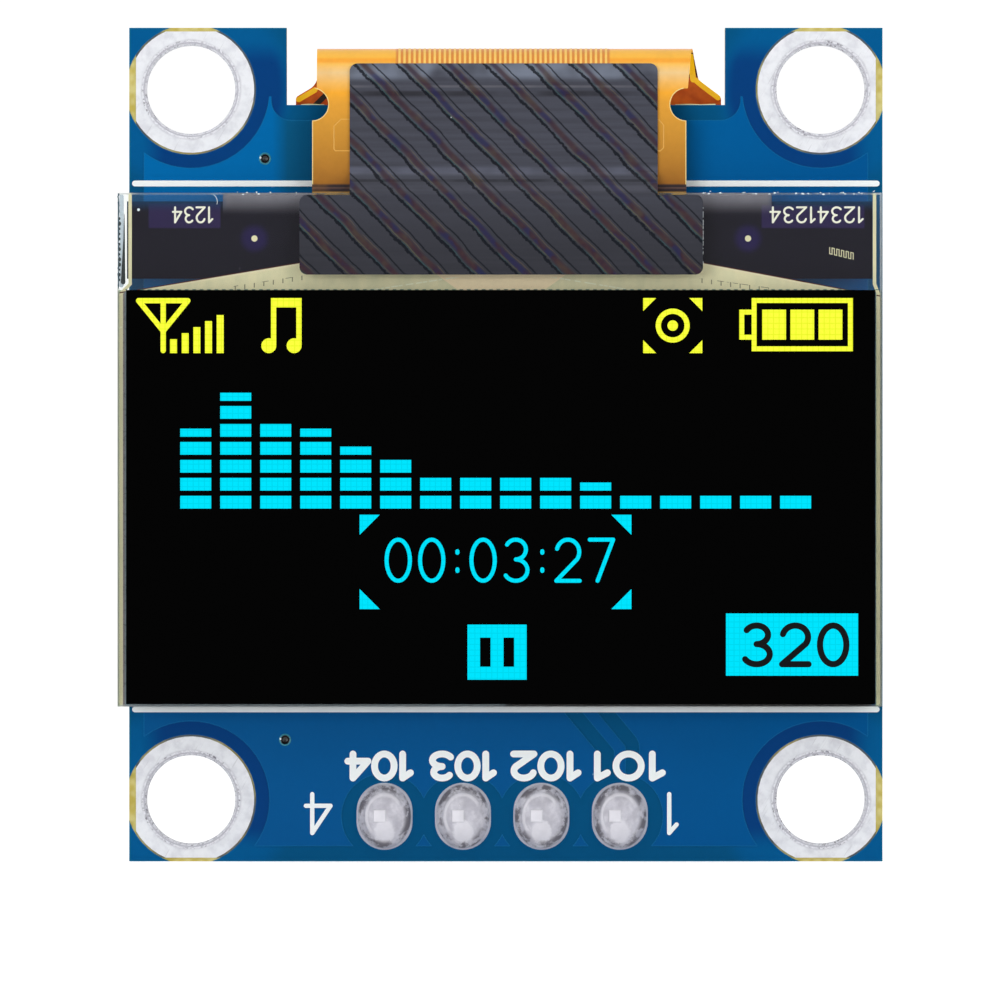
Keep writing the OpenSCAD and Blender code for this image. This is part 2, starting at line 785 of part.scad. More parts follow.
// Solder: a dome on the pad, and the fill of the hole round the pin
module solder_joint(p) {
    straight = joint_h - joint_w;
    dome_r = (pow(joint_w / 2, 2) + pow(joint_rise, 2)) / (2 * joint_rise);
    dome_y = dome_r - joint_rise - pad_t;
    color("lightgray") difference() {
        union() {
            on_front(0, pad_t) pin_pad(p);
            rod_y(p[0], p[1], 0, board_t, drill_d);
            intersection() {
                translate([p[0] - joint_w, -pad_t - joint_w, p[1] - joint_h])
                    cube([2 * joint_w, joint_w, 2 * joint_h]);
                union() {
                    for (s = [-1, 1]) translate([p[0], dome_y, p[1] + s * straight / 2]) sphere(r = dome_r);
                    translate([p[0], dome_y, p[1] - straight / 2]) cylinder(h = straight, r = dome_r);
                }
            }
        }
        header_pin(p);
    }
}

// ---- glass panel --------------------------------------------------------------------

module foam_tape() {
    color("#303030") on_front(foam_depth, foam_t) area(
        glass_left + foam_inset, glass_bottom + foam_inset,
        glass_w - 2 * foam_inset, glass_h - ledge_h - 2 * foam_inset);
}

module rear_glass() {
    color("lightcyan", 0.5) on_front(rear_glass_depth, rear_glass_t) rear_glass_outline();
}

module rear_glass_outline() {
    area(glass_left, glass_bottom, glass_w, glass_h - ledge_h);
}

module front_glass() {
    color("lightcyan", 0.5) on_front(front_glass_depth, front_glass_t)
        area(glass_left, glass_bottom, glass_w, glass_h);
}

module polariser() {
    color("black") on_front(polariser_depth, polariser_t)
        area(polariser_l, polariser_b, polariser_r - polariser_l, ledge_bottom - polariser_b);
}

module stack_outline() {
    area(glass_left + seal_w, glass_bottom + seal_w, glass_w - 2 * seal_w, glass_h - ledge_h - 2 * seal_w);
}

module light_emitting_stack() {
    color("#101020") on_front(cell_depth, cell_t) stack_outline();
}

module edge_seal() {
    color("#B8B8A0") on_front(cell_depth, cell_t) difference() {
        rear_glass_outline();
        stack_outline();
        electrode_outline();
    }
}

// The electrodes run from the stack to the driver in a low fan, and round the panel's sides
module electrode_outline() {
    fan_top = ledge_bottom + driver_gap + driver_h;
    polygon([
        [glass_left + seal_w, ledge_bottom - seal_w],
        [glass_left + seal_w, ledge_bottom + fan_foot],
        [tape_bar_x - tape_bar_w / 2, ledge_bottom + fan_rise],
        [-driver_w / 2, fan_top],
        [driver_w / 2, fan_top],
        [tape_bar_x + tape_bar_w / 2, ledge_bottom + fan_rise],
        [glass_right - fan_right, ledge_bottom + fan_foot],
        [glass_right - seal_w, ledge_bottom - seal_w]]);
    side_electrode(glass_left, 1, electrode_left);
    side_electrode(glass_right, -1, electrode_right);
    for (x = dot_places) translate([x, dot_z]) circle(d = dot_d);
}

// A line down one side: it sits further in along the ledge than beside the polariser
module side_electrode(edge, inward, ledge_inset) {
    outer = edge + inward * electrode_edge;
    inner = edge + inward * ledge_inset;
    path([
        [inner, glass_top - electrode_w / 2],
        [inner, ledge_bottom + electrode_jog * 2 / 3],
        [outer, ledge_bottom - electrode_jog / 3],
        [outer, glass_bottom + electrode_w / 2 + electrode_end]], electrode_w);
}

// Alignment dots beside the tape
dot_places = [for (s = [-1, 1]) tape_bar_x + s * (tape_bar_w / 2 + dot_gap)];
dot_z = glass_top - dot_drop;

module glass_electrodes() {
    color("#C3CDA2") on_front(cell_depth, cell_t) electrode_outline();
}

// Black film on the back of the ledge, lower at its two ends
module ledge_film() {
    left = glass_left + film_side_gap;
    right = glass_right - film_side_gap;
    bottom = ledge_bottom + film_bottom_gap;
    color("#141218") on_front(cell_depth, cell_t) difference() {
        union() {
            area(left, bottom, right - left, glass_top - film_top_gap - bottom);
            area(glass_left + film_left_step, bottom,
                glass_w - film_left_step - film_right_step, glass_top - bottom);
        }
        electrode_outline();
    }
}

module driver_chip() {
    color("#3A3A42") on_front(cell_depth - driver_t, driver_t)
        area(-driver_w / 2, ledge_bottom + driver_gap, driver_w, driver_h);
}

// ---- flex circuit -------------------------------------------------------------------

// Section through the whole fold: front run, half turn, tail
module fold_section() {
    area(flex_front_y, glass_top - flex_bond_h, flex_t, fold_z - glass_top + flex_bond_h);
    area(flex_back_y - flex_t, tail_end, flex_t, fold_z - tail_end);
    translate([fold_y, fold_z]) intersection() {
        difference() {
            circle(r = fold_r);
            circle(r = fold_r - flex_t);
        }
        area(-fold_r - cut, 0, 2 * (fold_r + cut), fold_r + cut);
    }
}

// Front run, a relief notch in each side, and the first quarter of the turn, which leans right
module flex_front_outline() {
    difference() {
        union() {
            area(flex_x - flex_w / 2, glass_top - flex_bond_h, flex_w, notch_floor - glass_top + flex_bond_h);
            polygon([
                [fold_left, notch_floor],
                [fold_left, fold_top + cut],
                [fold_right, fold_top + cut],
                [fold_right, fold_top],
                [flex_x + flex_w / 2, notch_floor]]);
        }
        for (s = [-1, 1]) translate([flex_x + s * flex_w / 2, notch_floor]) circle(r = relief_r);
    }
}

// The tail is in line with the fold, and flares out behind the notches into two rounded ears
module flex_tail_outline() {
    offset(r = ear_r) offset(delta = -ear_r) offset(r = -waist_r) offset(delta = waist_r) polygon([
        [fold_left, fold_top + waist_r],
        [fold_left, notch_floor + shoulder_top],
        [tail_x - tail_w / 2, notch_floor + shoulder_bottom],
        [tail_x - tail_w / 2, tail_end],
        [tail_x + tail_w / 2, tail_end],
        [tail_x + tail_w / 2, notch_floor + shoulder_bottom],
        [tail_x + neck_w / 2, notch_floor + shoulder_top],
        [ear_start - ear_slope * waist_r, fold_top + waist_r]]);
}

module flex_circuit() {
    span = tail_w + 2;
    color("orange") {
        intersection() {
            along_x(-span / 2, span) fold_section();
            translate([0, fold_y, 0]) rotate([90, 0, 0]) linear_extrude(fold_r + cut) flex_front_outline();
        }
        intersection() {
            along_x(-span / 2, span) fold_section();
            translate([0, flex_back_y + cut, 0]) rotate([90, 0, 0]) linear_extrude(fold_r + cut)
                flex_tail_outline();
        }
    }
}

// The soldered fingers below the tail's end, or their pads with a margin
module fingers(margin) {
    first = tail_x - (finger_count - 1) * finger_pitch / 2;
    for (i = [0 : finger_count - 1]) area(
        first + i * finger_pitch - finger_w / 2 - margin / 4, tail_end - finger_h - margin,
        finger_w + margin / 2, finger_h + margin);
}

// Solder on each finger: a flat foot with a slope up to the tail's end
module flex_finger_solder() {
    color("lightgray") intersection() {
        along_x(tail_x - tail_w / 2, tail_w) polygon([
            [board_t, tail_end - finger_h],
            [board_t + pad_t, tail_end - finger_h],
            [board_t + coat + flex_t, tail_end - finger_top],
            [board_t + coat + flex_t, tail_end],
            [board_t, tail_end]]);
        on_back(-cut, 2 * cut + coat + flex_t) fingers(0);
    }
}

// ---- light-shield tape --------------------------------------------------------------

// Section of the tape: flat on the glass, a slope past its edge, then flat on the flex
// circuit and a little way round its fold
module tape_section() {
    glass_y = -polariser_depth;
    step_bottom = glass_top + tape_overrun;
    step_top = step_bottom + tape_step_h;
    polygon([
        [glass_y, tape_bar_bottom], [glass_y, step_bottom],
        [flex_front_y, step_top], [flex_front_y, fold_z],
        [flex_front_y - tape_t, fold_z], [flex_front_y - tape_t, step_top - tape_t / 2],
        [glass_y - tape_t, step_bottom - tape_t / 2], [glass_y - tape_t, tape_bar_bottom]]);
    translate([fold_y, fold_z]) intersection() {
        difference() {
            circle(r = fold_r + tape_t);
            circle(r = fold_r);
        }
        area(-fold_r - tape_t - cut, 0, fold_r + tape_t + cut, tape_top - fold_z);
    }
}

module rounded_area(x, z, w, h, r) {
    offset(r = r) area(x + r, z + r, w - 2 * r, h - 2 * r);
}

module tape_outline() {
    rounded_area(tape_bar_x - tape_bar_w / 2, tape_bar_bottom,
        tape_bar_w, tape_bar_top - tape_bar_bottom, tape_corner_r);
    rounded_area(tape_stem_x - tape_stem_w / 2, tape_bar_bottom + tape_corner_r,
        tape_stem_w, tape_top - tape_bar_bottom - tape_corner_r, tape_corner_r);
}

module light_shield_tape() {
    depth = polariser_depth + tape_t + cut;
    color("#4A4850") intersection() {
        along_x(tape_bar_x - tape_bar_w / 2 - cut, tape_bar_w + 2 * cut) tape_section();
        translate([0, fold_y, 0]) rotate([90, 0, 0]) linear_extrude(depth + fold_y) tape_outline();
    }
}

// ---- lit picture --------------------------------------------------------------------

// A mast under a downward triangle
module antenna_sign() {
    half = (antenna_w - icon_line) / 2;
    tip = -icon_h * 0.55;
    path([[-half, 0], [half, 0]], icon_line);
    path([[-half, 0], [0, tip], [half, 0]], icon_line);
    path([[0, 0], [0, icon_line - icon_h]], icon_line);
}

module signal_bars() {
    for (i = [0 : signal_count - 1])
        area(i * signal_pitch, -icon_h, signal_w, signal_first + i * signal_step);
}

// Two joined notes, in shares of the sign's height
module note_sign() {
    head_d = icon_h * 0.27;
    beam = icon_h * 0.17;
    step = icon_h * 0.46;
    head_z = -icon_h + head_d / 2;
    translate([head_d - icon_line / 2, 0]) {
        for (x = [0, step]) {
            path([[x, -icon_line / 2], [x, head_z]], icon_line);
            translate([x - (head_d - icon_line) / 2, head_z]) circle(d = head_d);
        }
        area(-icon_line / 2, -beam, step + icon_line, beam);
    }
}

// Four corner marks of a frame
module corner_marks(w, h, size) {
    for (sx = [-1, 1], sz = [-1, 1]) translate([sx * w / 2, sz * h / 2]) mirror([sx > 0 ? 1 : 0, 0])
        mirror([0, sz > 0 ? 1 : 0]) polygon([[0, 0], [size, 0], [0, size]]);
}

// A ring and a dot between corner marks
module target_sign() {
    difference() {
        circle(d = target_ring_d);
        circle(d = target_ring_d - 2 * icon_line);
    }
    circle(d = 2 * icon_line);
    corner_marks(target_w, icon_h, target_wedge);
}

module battery_sign() {
    gap = (battery_w - (cell_count - 1) * cell_pitch - cell_w) / 2;
    difference() {
        area(0, -battery_h, battery_w, battery_h);
        area(battery_wall, battery_wall - battery_h, battery_w - 2 * battery_wall, battery_h - 2 * battery_wall);
    }
    difference() {
        area(-battery_nub, -(battery_h + cell_h) / 2, battery_nub, cell_h);
        area(battery_wall - battery_nub, -(battery_h + cell_h) / 2 + battery_wall,
            battery_nub, cell_h - 2 * battery_wall);
    }
    for (i = [0 : cell_count - 1]) area(gap + i * cell_pitch, -(battery_h + cell_h) / 2, cell_w, cell_h);
}

module yellow_picture() {
    color("yellow") on_front(lit_depth, lit_t) translate([picture_x, picture_z]) {
        translate([antenna_w / 2, -icon_line / 2]) antenna_sign();
        translate([signal_x, 0]) signal_bars();
        translate([note_x, 0]) note_sign();
        translate([picture_w - target_inset, -icon_h / 2]) target_sign();
        translate([picture_w - battery_w - battery_inset, 0]) battery_sign();
    }
}

module spectrum() {
    for (i = [0 : len(column_levels) - 1], k = [1 : column_levels[i]])
        area(i * column_pitch, (k - 1) * segment_pitch, column_w, segment_h);
    for (i = peak_columns) area(i * column_pitch, column_levels[i] * segment_pitch, column_w, peak_h);
}

module pause_sign() {
    difference() {
        square([pause_w, pause_h], center = true);
        for (s = [-1, 1]) translate([s * pause_slot_pitch / 2, 0])
            square([pause_slot_w, pause_slot_h], center = true);
    }
}

module blue_picture() {
    middle = picture_w / 2;
    title_foot = -spectrum_drop - title_gap - title_h;
    color("cyan") on_front(lit_depth, lit_t) translate([picture_x, picture_z]) {
        translate([spectrum_x, -spectrum_drop]) spectrum();
        translate([middle - title_shift, title_foot + title_h / 2]) corner_marks(title_w, title_h, wedge);
        translate([middle, title_foot - pause_gap - pause_h / 2]) pause_sign();
        area(picture_w - box_w, title_foot - box_gap - box_h, box_w, box_h);
    }
}

// ---- parts on the back --------------------------------------------------------------

// Copper stays clear of a chip and its solder
module chip_keepout(p) {
    translate([p[0], p[1]]) rotate(p[2])
        square([chip_l + 2 * (fillet_l + part_keepout), chip_w + 2 * part_keepout], center = true);
}

// Copper stays clear of a moulded part and its leads
module body_keepout(place, w, h) {
    translate(place) square([w + 2 * body_margin, h + 2 * body_margin], center = true);
}

module chip_pads(p) {
    translate([p[0], p[1]]) rotate(p[2]) for (s = [-1, 1])
        translate([s * (chip_l / 2 + (fillet_l - chip_cap_l) / 2), 0])
            square([fillet_l + chip_cap_l, chip_w], center = true);
}

// Places of the leads: centre and whether they leave to the left or the right
regulator_lead_places = [
    [regulator_place[0], regulator_place[1] + regulator_lead_pitch / 2, -1],
    [regulator_place[0], regulator_place[1] - regulator_lead_pitch / 2, -1],
    [regulator_place[0], regulator_place[1], 1]];
diode_lead_places = [[diode_place[0], diode_place[1], -1], [diode_place[0], diode_place[1], 1]];

module lead_pads(places, span) {
    for (p = places) translate([p[0] + p[2] * (span + lead_toe - lead_foot - lead_pad) / 2, p[1]])
        square([lead_foot + lead_pad + lead_toe, lead_w + 2 * lead_pad], center = true);
}

module component_pads() {
    for (p = capacitor_places) chip_pads(p);
    for (p = resistor_places) chip_pads(p);
    lead_pads(regulator_lead_places, regulator_span);
    lead_pads(diode_lead_places, diode_span);
}

// A slope of solder from the board up each metal cap of a chip
module chip_fillets(p, rise) {
    translate([p[0], board_t + pad_t, p[1]]) rotate([0, -p[2], 0]) for (s = [0, 1]) mirror([s, 0, 0])
        translate([0, 0, -chip_w / 2]) linear_extrude(chip_w)
            polygon([[chip_l / 2, 0], [chip_l / 2 + fillet_l, 0], [chip_l / 2, rise]]);
}

module component_solder() {
    color("lightgray") {
        on_back(0, pad_t) component_pads();
        for (p = capacitor_places) chip_fillets(p, capacitor_t * 0.5);
        for (p = resistor_places) chip_fillets(p, resistor_t * 0.8);
    }
}

// A chip: its body, and two metal caps that stand a little proud of it
module chip(p, t) {
    translate([p[0], board_t + pad_t, p[1]]) rotate([0, -p[2], 0]) {
        translate([-chip_l / 2 + chip_cap_l / 2, chip_cap_proud, -chip_w / 2 + chip_cap_proud])
            cube([chip_l - chip_cap_l, t - 2 * chip_cap_proud, chip_w - 2 * chip_cap_proud]);
        for (s = [-1, 1]) translate([s * (chip_l - chip_cap_l) / 2 - chip_cap_l / 2, 0, -chip_w / 2])
            cube([chip_cap_l, t, chip_w]);
    }
}

module capacitor(i) {
    color("#B89A6A") chip(capacitor_places[i - 1], capacitor_t);
}

module resistor(i) {
    color("#202024") chip(resistor_places[i - 1], resistor_t);
}

// A moulded body with sloping sides, seen end on
module moulded_section(w, t) {
    narrow = w / 2 - mould_slope;
    polygon([[-narrow, 0], [narrow, 0], [w / 2, t / 2], [narrow, t], [-narrow, t], [-w / 2, t / 2]]);
}

// The package rests a little above the board, level with its leads
module moulded_body(place, w, l, t) {
    translate([place[0], board_t + pad_t + lead_t / 2, place[1] - l / 2])
        linear_extrude(l) moulded_section(w, t);
}

// A lead: foot on the pad, slope, and a shoulder that ends at the body
module gull_lead(p, span, body_w, t) {
    shoulder_y = (t + lead_t) / 2;
    bend = span / 2 - lead_foot;
    translate([p[0], board_t + pad_t, p[1] - lead_w / 2]) mirror([p[2] < 0 ? 1 : 0, 0, 0])
        linear_extrude(lead_w) polygon([
            [span / 2, 0], [span / 2, lead_t],
            [bend + lead_t / 2, lead_t], [bend + lead_t / 2, shoulder_y + lead_t / 2],
            [body_w / 2, shoulder_y + lead_t / 2], [body_w / 2, shoulder_y - lead_t / 2],
            [bend - lead_t / 2, shoulder_y - lead_t / 2], [bend - lead_t / 2, 0]]);
}

module regulator_body() {
    color("#222226") moulded_body(regulator_place, regulator_w, regulator_l, regulator_t);
}

module regulator_leads() {
    color("silver") for (p = regulator_lead_places) gull_lead(p, regulator_span, regulator_w, regulator_t);
}

module diode_body() {
    color("#222226") moulded_body(diode_place, diode_l, diode_w, diode_t);
}

module diode_leads() {
    color("silver") for (p = diode_lead_places) gull_lead(p, diode_span, diode_l, diode_t);
}

// ---- nodes --------------------------------------------------------------------------

board_laminate();
front_solder_mask();
back_solder_mask();
front_print();
back_print();
mounting_land(hole_places[0]);  // mounting_land_1
mounting_land(hole_places[1]);  // mounting_land_2
mounting_land(hole_places[2]);  // mounting_land_3
mounting_land(hole_places[3]);  // mounting_land_4
header_housing();
header_pin(pin_places[0]);  // header_pin_1
header_pin(pin_places[1]);  // header_pin_2
header_pin(pin_places[2]);  // header_pin_3
header_pin(pin_places[3]);  // header_pin_4
solder_joint(pin_places[0]);  // solder_joint_1
solder_joint(pin_places[1]);  // solder_joint_2
solder_joint(pin_places[2]);  // solder_joint_3
solder_joint(pin_places[3]);  // solder_joint_4
foam_tape();
rear_glass();
edge_seal();
light_emitting_stack();
front_glass();
polariser();
ledge_film();
glass_electrodes();
driver_chip();
flex_circuit();
flex_finger_solder();
light_shield_tape();
yellow_picture();
blue_picture();
regulator_body();
regulator_leads();
diode_body();
diode_leads();
component_solder();
capacitor(1);  // capacitor_1
capacitor(2);  // capacitor_2
capacitor(3);  // capacitor_3
capacitor(4);  // capacitor_4
capacitor(5);  // capacitor_5
capacitor(6);  // capacitor_6
capacitor(7);  // capacitor_7
capacitor(8);  // capacitor_8
resistor(1);  // resistor_1
resistor(2);  // resistor_2
resistor(3);  // resistor_3
resistor(4);  // resistor_4
resistor(5);  // resistor_5
resistor(6);  // resistor_6
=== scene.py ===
"""Looks of the small OLED display module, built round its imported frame.

Upright: +Z up, +X to the right, the display faces -Y. The board's laminate has its front face
at Y = 0. All lengths here are in metres, and MM turns millimetres into them.
"""

import json
import logging
import math
from dataclasses import dataclass
from enum import Enum
from typing import Any, Callable, Mapping, Optional, Sequence, Union

import bmesh
import bpy
import numpy as np
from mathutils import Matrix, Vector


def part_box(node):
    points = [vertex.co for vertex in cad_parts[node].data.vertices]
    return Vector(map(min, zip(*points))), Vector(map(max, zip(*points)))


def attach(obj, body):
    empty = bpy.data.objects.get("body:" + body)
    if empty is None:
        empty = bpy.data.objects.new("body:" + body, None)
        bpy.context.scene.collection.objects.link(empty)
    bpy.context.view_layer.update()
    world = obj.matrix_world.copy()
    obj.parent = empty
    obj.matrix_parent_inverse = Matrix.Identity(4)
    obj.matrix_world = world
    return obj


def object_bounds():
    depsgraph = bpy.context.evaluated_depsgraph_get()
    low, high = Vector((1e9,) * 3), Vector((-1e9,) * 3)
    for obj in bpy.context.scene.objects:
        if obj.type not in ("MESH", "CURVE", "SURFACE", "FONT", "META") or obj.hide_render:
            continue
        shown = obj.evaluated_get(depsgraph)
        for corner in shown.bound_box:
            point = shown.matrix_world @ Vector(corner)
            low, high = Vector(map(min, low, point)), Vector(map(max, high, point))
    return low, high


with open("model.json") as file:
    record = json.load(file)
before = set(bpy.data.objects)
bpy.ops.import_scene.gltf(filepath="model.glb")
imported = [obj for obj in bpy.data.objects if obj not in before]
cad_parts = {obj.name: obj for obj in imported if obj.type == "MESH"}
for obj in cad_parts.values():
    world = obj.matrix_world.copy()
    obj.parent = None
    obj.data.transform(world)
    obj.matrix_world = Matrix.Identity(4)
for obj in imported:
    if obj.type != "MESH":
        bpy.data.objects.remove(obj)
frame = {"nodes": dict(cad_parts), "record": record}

LOG = logging.getLogger("display_module")
CAD_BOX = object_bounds()
MM = 0.001
BODY = "root"
WELD = 0.0001 * MM
MITRE_LIMIT = 0.3
CAP_ANGLES = (75.0, 50.0, 25.0)

Socket = bpy.types.NodeSocket
Feed = Union["Value", Socket, float, Sequence[float]]
Colour = Union["Value", str, Sequence[float]]
Grid = np.ndarray


def tone(code: str) -> tuple[float, float, float, float]:
    """Turns a six-digit colour code into linear red, green, blue and an alpha of 1.

    Args:
        code: The colour as hexadecimal digits, without a leading mark.

    Returns:
        The linear colour with alpha.
    """
    parts = [int(code[i:i + 2], 16) / 255 for i in (0, 2, 4)]
    linear = [c / 12.92 if c <= 0.04045 else ((c + 0.055) / 1.055) ** 2.4 for c in parts]
    return (linear[0], linear[1], linear[2], 1.0)


# ---- shader sheets -------------------------------------------------------------------


def sign(operation: str, swapped: bool = False) -> Callable[["Value", Feed], "Value"]:
    """Makes the method for a sign of arithmetic.

    Args:
        operation: Blender's name of the math node's operation.
        swapped: Whether the value stands after the sign.

    Returns:
        The method, which adds the node.
    """
    def join(one: "Value", other: Feed) -> "Value":
        """Joins two values."""
        return one.sheet.math(operation, other, one) if swapped else one.sheet.math(operation, one, other)
    return join


class Value:
    """What a node gives out, as a number over the surface that signs of arithmetic work on.

    Each sign adds a math node. > and < give 1 or 0, and & and | the smaller and the larger.
    """

    def __init__(self, sheet: "Sheet", socket: Socket) -> None:
        """Keeps the output and its sheet."""
        self.sheet = sheet
        self.socket = socket

    __add__ = sign("ADD")
    __sub__ = sign("SUBTRACT")
    __rsub__ = sign("SUBTRACT", swapped=True)
    __mul__ = sign("MULTIPLY")
    __truediv__ = sign("DIVIDE")
    __rtruediv__ = sign("DIVIDE", swapped=True)
    __gt__ = sign("GREATER_THAN")
    __lt__ = sign("LESS_THAN")
    __and__ = sign("MINIMUM")
    __or__ = sign("MAXIMUM")

    def __abs__(self) -> "Value":
        """Gives the value without its sign."""
        return self.sheet.math("ABSOLUTE", self)

    def off(self, pitch: float) -> "Value":
        """Gives how far the value is from the nearest multiple of a pitch, as a share of it."""
        turn = self / pitch
        return turn - self.sheet.math("ROUND", turn)

    def within(self, low: float, high: float) -> "Value":
        """Gives 1 where the value lies between two limits."""
        return (self > low) * (self < high)

    def smooth(self, low: float, high: float) -> "Value":
        """Rises smoothly from 0 to 1 as the value goes from low to high, or falls if low is above."""
        rise = (1.0, 0.0, high, low) if low > high else (0.0, 1.0, low, high)
        return self.spread(*rise, interpolation_type="SMOOTHSTEP")

    def spread(self, low: Feed, high: Feed, start: float = 0.0, end: float = 1.0,
               **settings: Any) -> "Value":
        """Maps the value, as it goes from start to end, onto low to high."""
        feeds = {"Value": self, "From Min": start, "From Max": end, "To Min": low, "To Max": high}
        return self.sheet.run("ShaderNodeMapRange", feeds, **settings)


class Sheet:
    """A node tree, with short calls for the nodes that the finishes use."""

    def __init__(self, tree: bpy.types.NodeTree) -> None:
        """Keeps the tree that the calls add to."""
        self.tree = tree

    def node(self, kind: str, feeds: Optional[Mapping[Union[int, str], Feed]] = None,
             **settings: Any) -> bpy.types.Node:
        """Adds a node.

        Args:
            kind: Blender's name of the node type.
            feeds: What its inputs get, by their names or numbers.
            settings: Properties of the node, such as operation.

        Returns:
            The new node.
        """
        made = self.tree.nodes.new(kind)
        for key, value in settings.items():
            setattr(made, key, value)
        self.fill(made, feeds or {})
        return made

    def fill(self, node: bpy.types.Node, feeds: Mapping[Union[int, str], Feed]) -> None:
        """Links a node's inputs to outputs, or sets their own values.

        Args:
            node: The node.
            feeds: What its inputs get, by their names or numbers.
        """
        for key, value in feeds.items():
            if isinstance(value, Value):
                value = value.socket
            if isinstance(value, bpy.types.NodeSocket):
                self.tree.links.new(value, node.inputs[key])
            else:
                node.inputs[key].default_value = value

    def run(self, kind: str, feeds: Optional[Mapping[Union[int, str], Feed]] = None,
            output: Union[int, str] = 0, **settings: Any) -> Value:
        """Adds a node as node() does, and gives one of its outputs."""
        return Value(self, self.node(kind, feeds, **settings).outputs[output])

    def math(self, operation: str, a: Feed, b: Feed = 0.0, clamp: bool = False) -> Value:
        """Adds a math node and gives its value."""
        return self.run("ShaderNodeMath", {0: a, 1: b}, operation=operation, use_clamp=clamp)

    def length(self, a: Value, b: Value) -> Value:
        """Gives the square root of the sum of two squares."""
        return self.math("SQRT", a * a + b * b)

    def mix(self, share: Feed, a: Feed, b: Feed, blend: str = "MIX") -> Value:
        """Mixes two colours, with the second one's share from 0 to 1."""
        return self.run("ShaderNodeMix", {0: share, 6: a, 7: b}, 2, data_type="RGBA", blend_type=blend)

    def layers(self, base: Colour, *rows: tuple[Value, Colour, float]) -> Value:
        """Lays colours over each other.

        Args:
            base: The lowest colour.
            rows: For each layer its mask, its colour, and its share where the mask is 1.

        Returns:
            The colour.
        """
        base = tone(base) if isinstance(base, str) else base
        for mask, over, share in rows:
            amount = mask if share == 1.0 else mask * share
            base = self.mix(amount, base, tone(over) if isinstance(over, str) else over)
        return base

    def ramp(self, value: Value, stops: Sequence[tuple[float, str]]) -> Value:
        """Runs through colours as a value rises.

        Args:
            value: The value.
            stops: Values in rising order, each with its colour as a code.

        Returns:
            The colour.
        """
        low, high = stops[0][0], stops[-1][0]
        share = self.math("DIVIDE", value - low, high - low, clamp=True)
        made = self.node("ShaderNodeValToRGB", {0: share})
        marks = made.color_ramp.elements
        marks[0].color = tone(stops[0][1])
        marks[1].color = tone(stops[-1][1])
        for at, code in stops[1:-1]:
            marks.new((at - low) / (high - low)).color = tone(code)
        return Value(self, made.outputs[0])

    def place(self) -> Value:
        """Gives the object's own coordinates, in metres."""
        return self.run("ShaderNodeTexCoord", output="Object")

    def split(self, place: Feed) -> list[Value]:
        """Splits a place or a direction into X, Y and Z."""
        return [Value(self, socket) for socket in self.node("ShaderNodeSeparateXYZ", {0: place}).outputs]

    def axes(self) -> list[Value]:
        """Gives X, Y and Z of the object's own coordinates."""
        return self.split(self.place())

    def point(self, x: Feed, y: Feed, z: Feed) -> Value:
        """Joins X, Y and Z into a place."""
        return self.run("ShaderNodeCombineXYZ", {0: x, 1: y, 2: z})

    def noise(self, size: float, place: Optional[Value] = None, detail: float = 2.0,
              roughness: float = 0.5, seed: float = 0.0) -> Value:
        """Adds soft noise.

        Args:
            size: Size of its blots, in metres.
            place: Where it is read, the object's own coordinates if not given.
            detail: Number of finer layers.
            roughness: Weight of the finer layers.
            seed: A fourth coordinate that picks another pattern.

        Returns:
            The noise, about 0.5 on average.
        """
        feeds = {"Vector": place or self.place(), "W": seed, "Scale": 1 / size, "Detail": detail,
                 "Roughness": roughness}
        return self.run("ShaderNodeTexNoise", feeds, noise_dimensions="4D")

    def effect(self, tree: bpy.types.NodeTree, **feeds: Feed) -> Value:
        """Places a shared effect, feeds its inputs by name and gives what it puts out."""
        return self.run("ShaderNodeGroup", feeds, node_tree=tree)

    def inside(self, left: float, right: float, low: float, high: float, soft: float) -> Value:
        """Masks an upright rectangle whose sides fade over a soft width."""
        return self.effect(Effects.window, Left=left, Right=right, Low=low, High=high, Soft=soft)

    def dust(self, cell: float, radius: float, share: float) -> Value:
        """Masks specks, from their cells' size and their radius and share as parts of the cells."""
        return self.effect(Effects.dust, Cell=cell, Radius=radius, Share=share)

    def scratches(self, width: float, slant: float, amount: float) -> Value:
        """Masks fine scratches."""
        return self.effect(Effects.scratches, Width=width, Slant=slant, Amount=amount)


class Effect(Sheet):
    """A shared effect: a shader node group with named inputs and one output."""

    def __init__(self, name: str, output: str, inputs: Mapping[str, float]) -> None:
        """Makes the group and its sockets.

        Args:
            name: Name of the group.
            output: Name of its output.
            inputs: Name and usual value of each input.
        """
        super().__init__(bpy.data.node_groups.new(name, "ShaderNodeTree"))
        for key, value in inputs.items():
            socket = self.tree.interface.new_socket(key, in_out="INPUT", socket_type="NodeSocketFloat")
            socket.default_value = value
        self.tree.interface.new_socket(output, in_out="OUTPUT", socket_type="NodeSocketFloat")
        sockets = self.node("NodeGroupInput").outputs
        self.given = [Value(self, sockets[key]) for key in inputs]

    def finished(self, value: Value) -> bpy.types.NodeTree:
        """Puts the value out and gives the group."""
        self.node("NodeGroupOutput", {0: value})
        return self.tree


def window_effect() -> bpy.types.NodeTree:
    """Makes a mask that is 1 inside an upright rectangle and fades at its sides.

    The mask is the product of four ramps, one from each side, each as wide as Soft.

    Returns:
        The group.
    """
    sheet = Effect("window", "Mask", {"Left": 0, "Right": 1, "Low": 0, "High": 1, "Soft": 0.0001})
    left, right, low, high, soft = sheet.given
    x, _, z = sheet.axes()
    west, east, foot, top = [
        sheet.math("ADD", gap / soft, 0.5, clamp=True) for gap in (x - left, right - x, z - low, high - z)]
    return sheet.finished(west * east * foot * top)


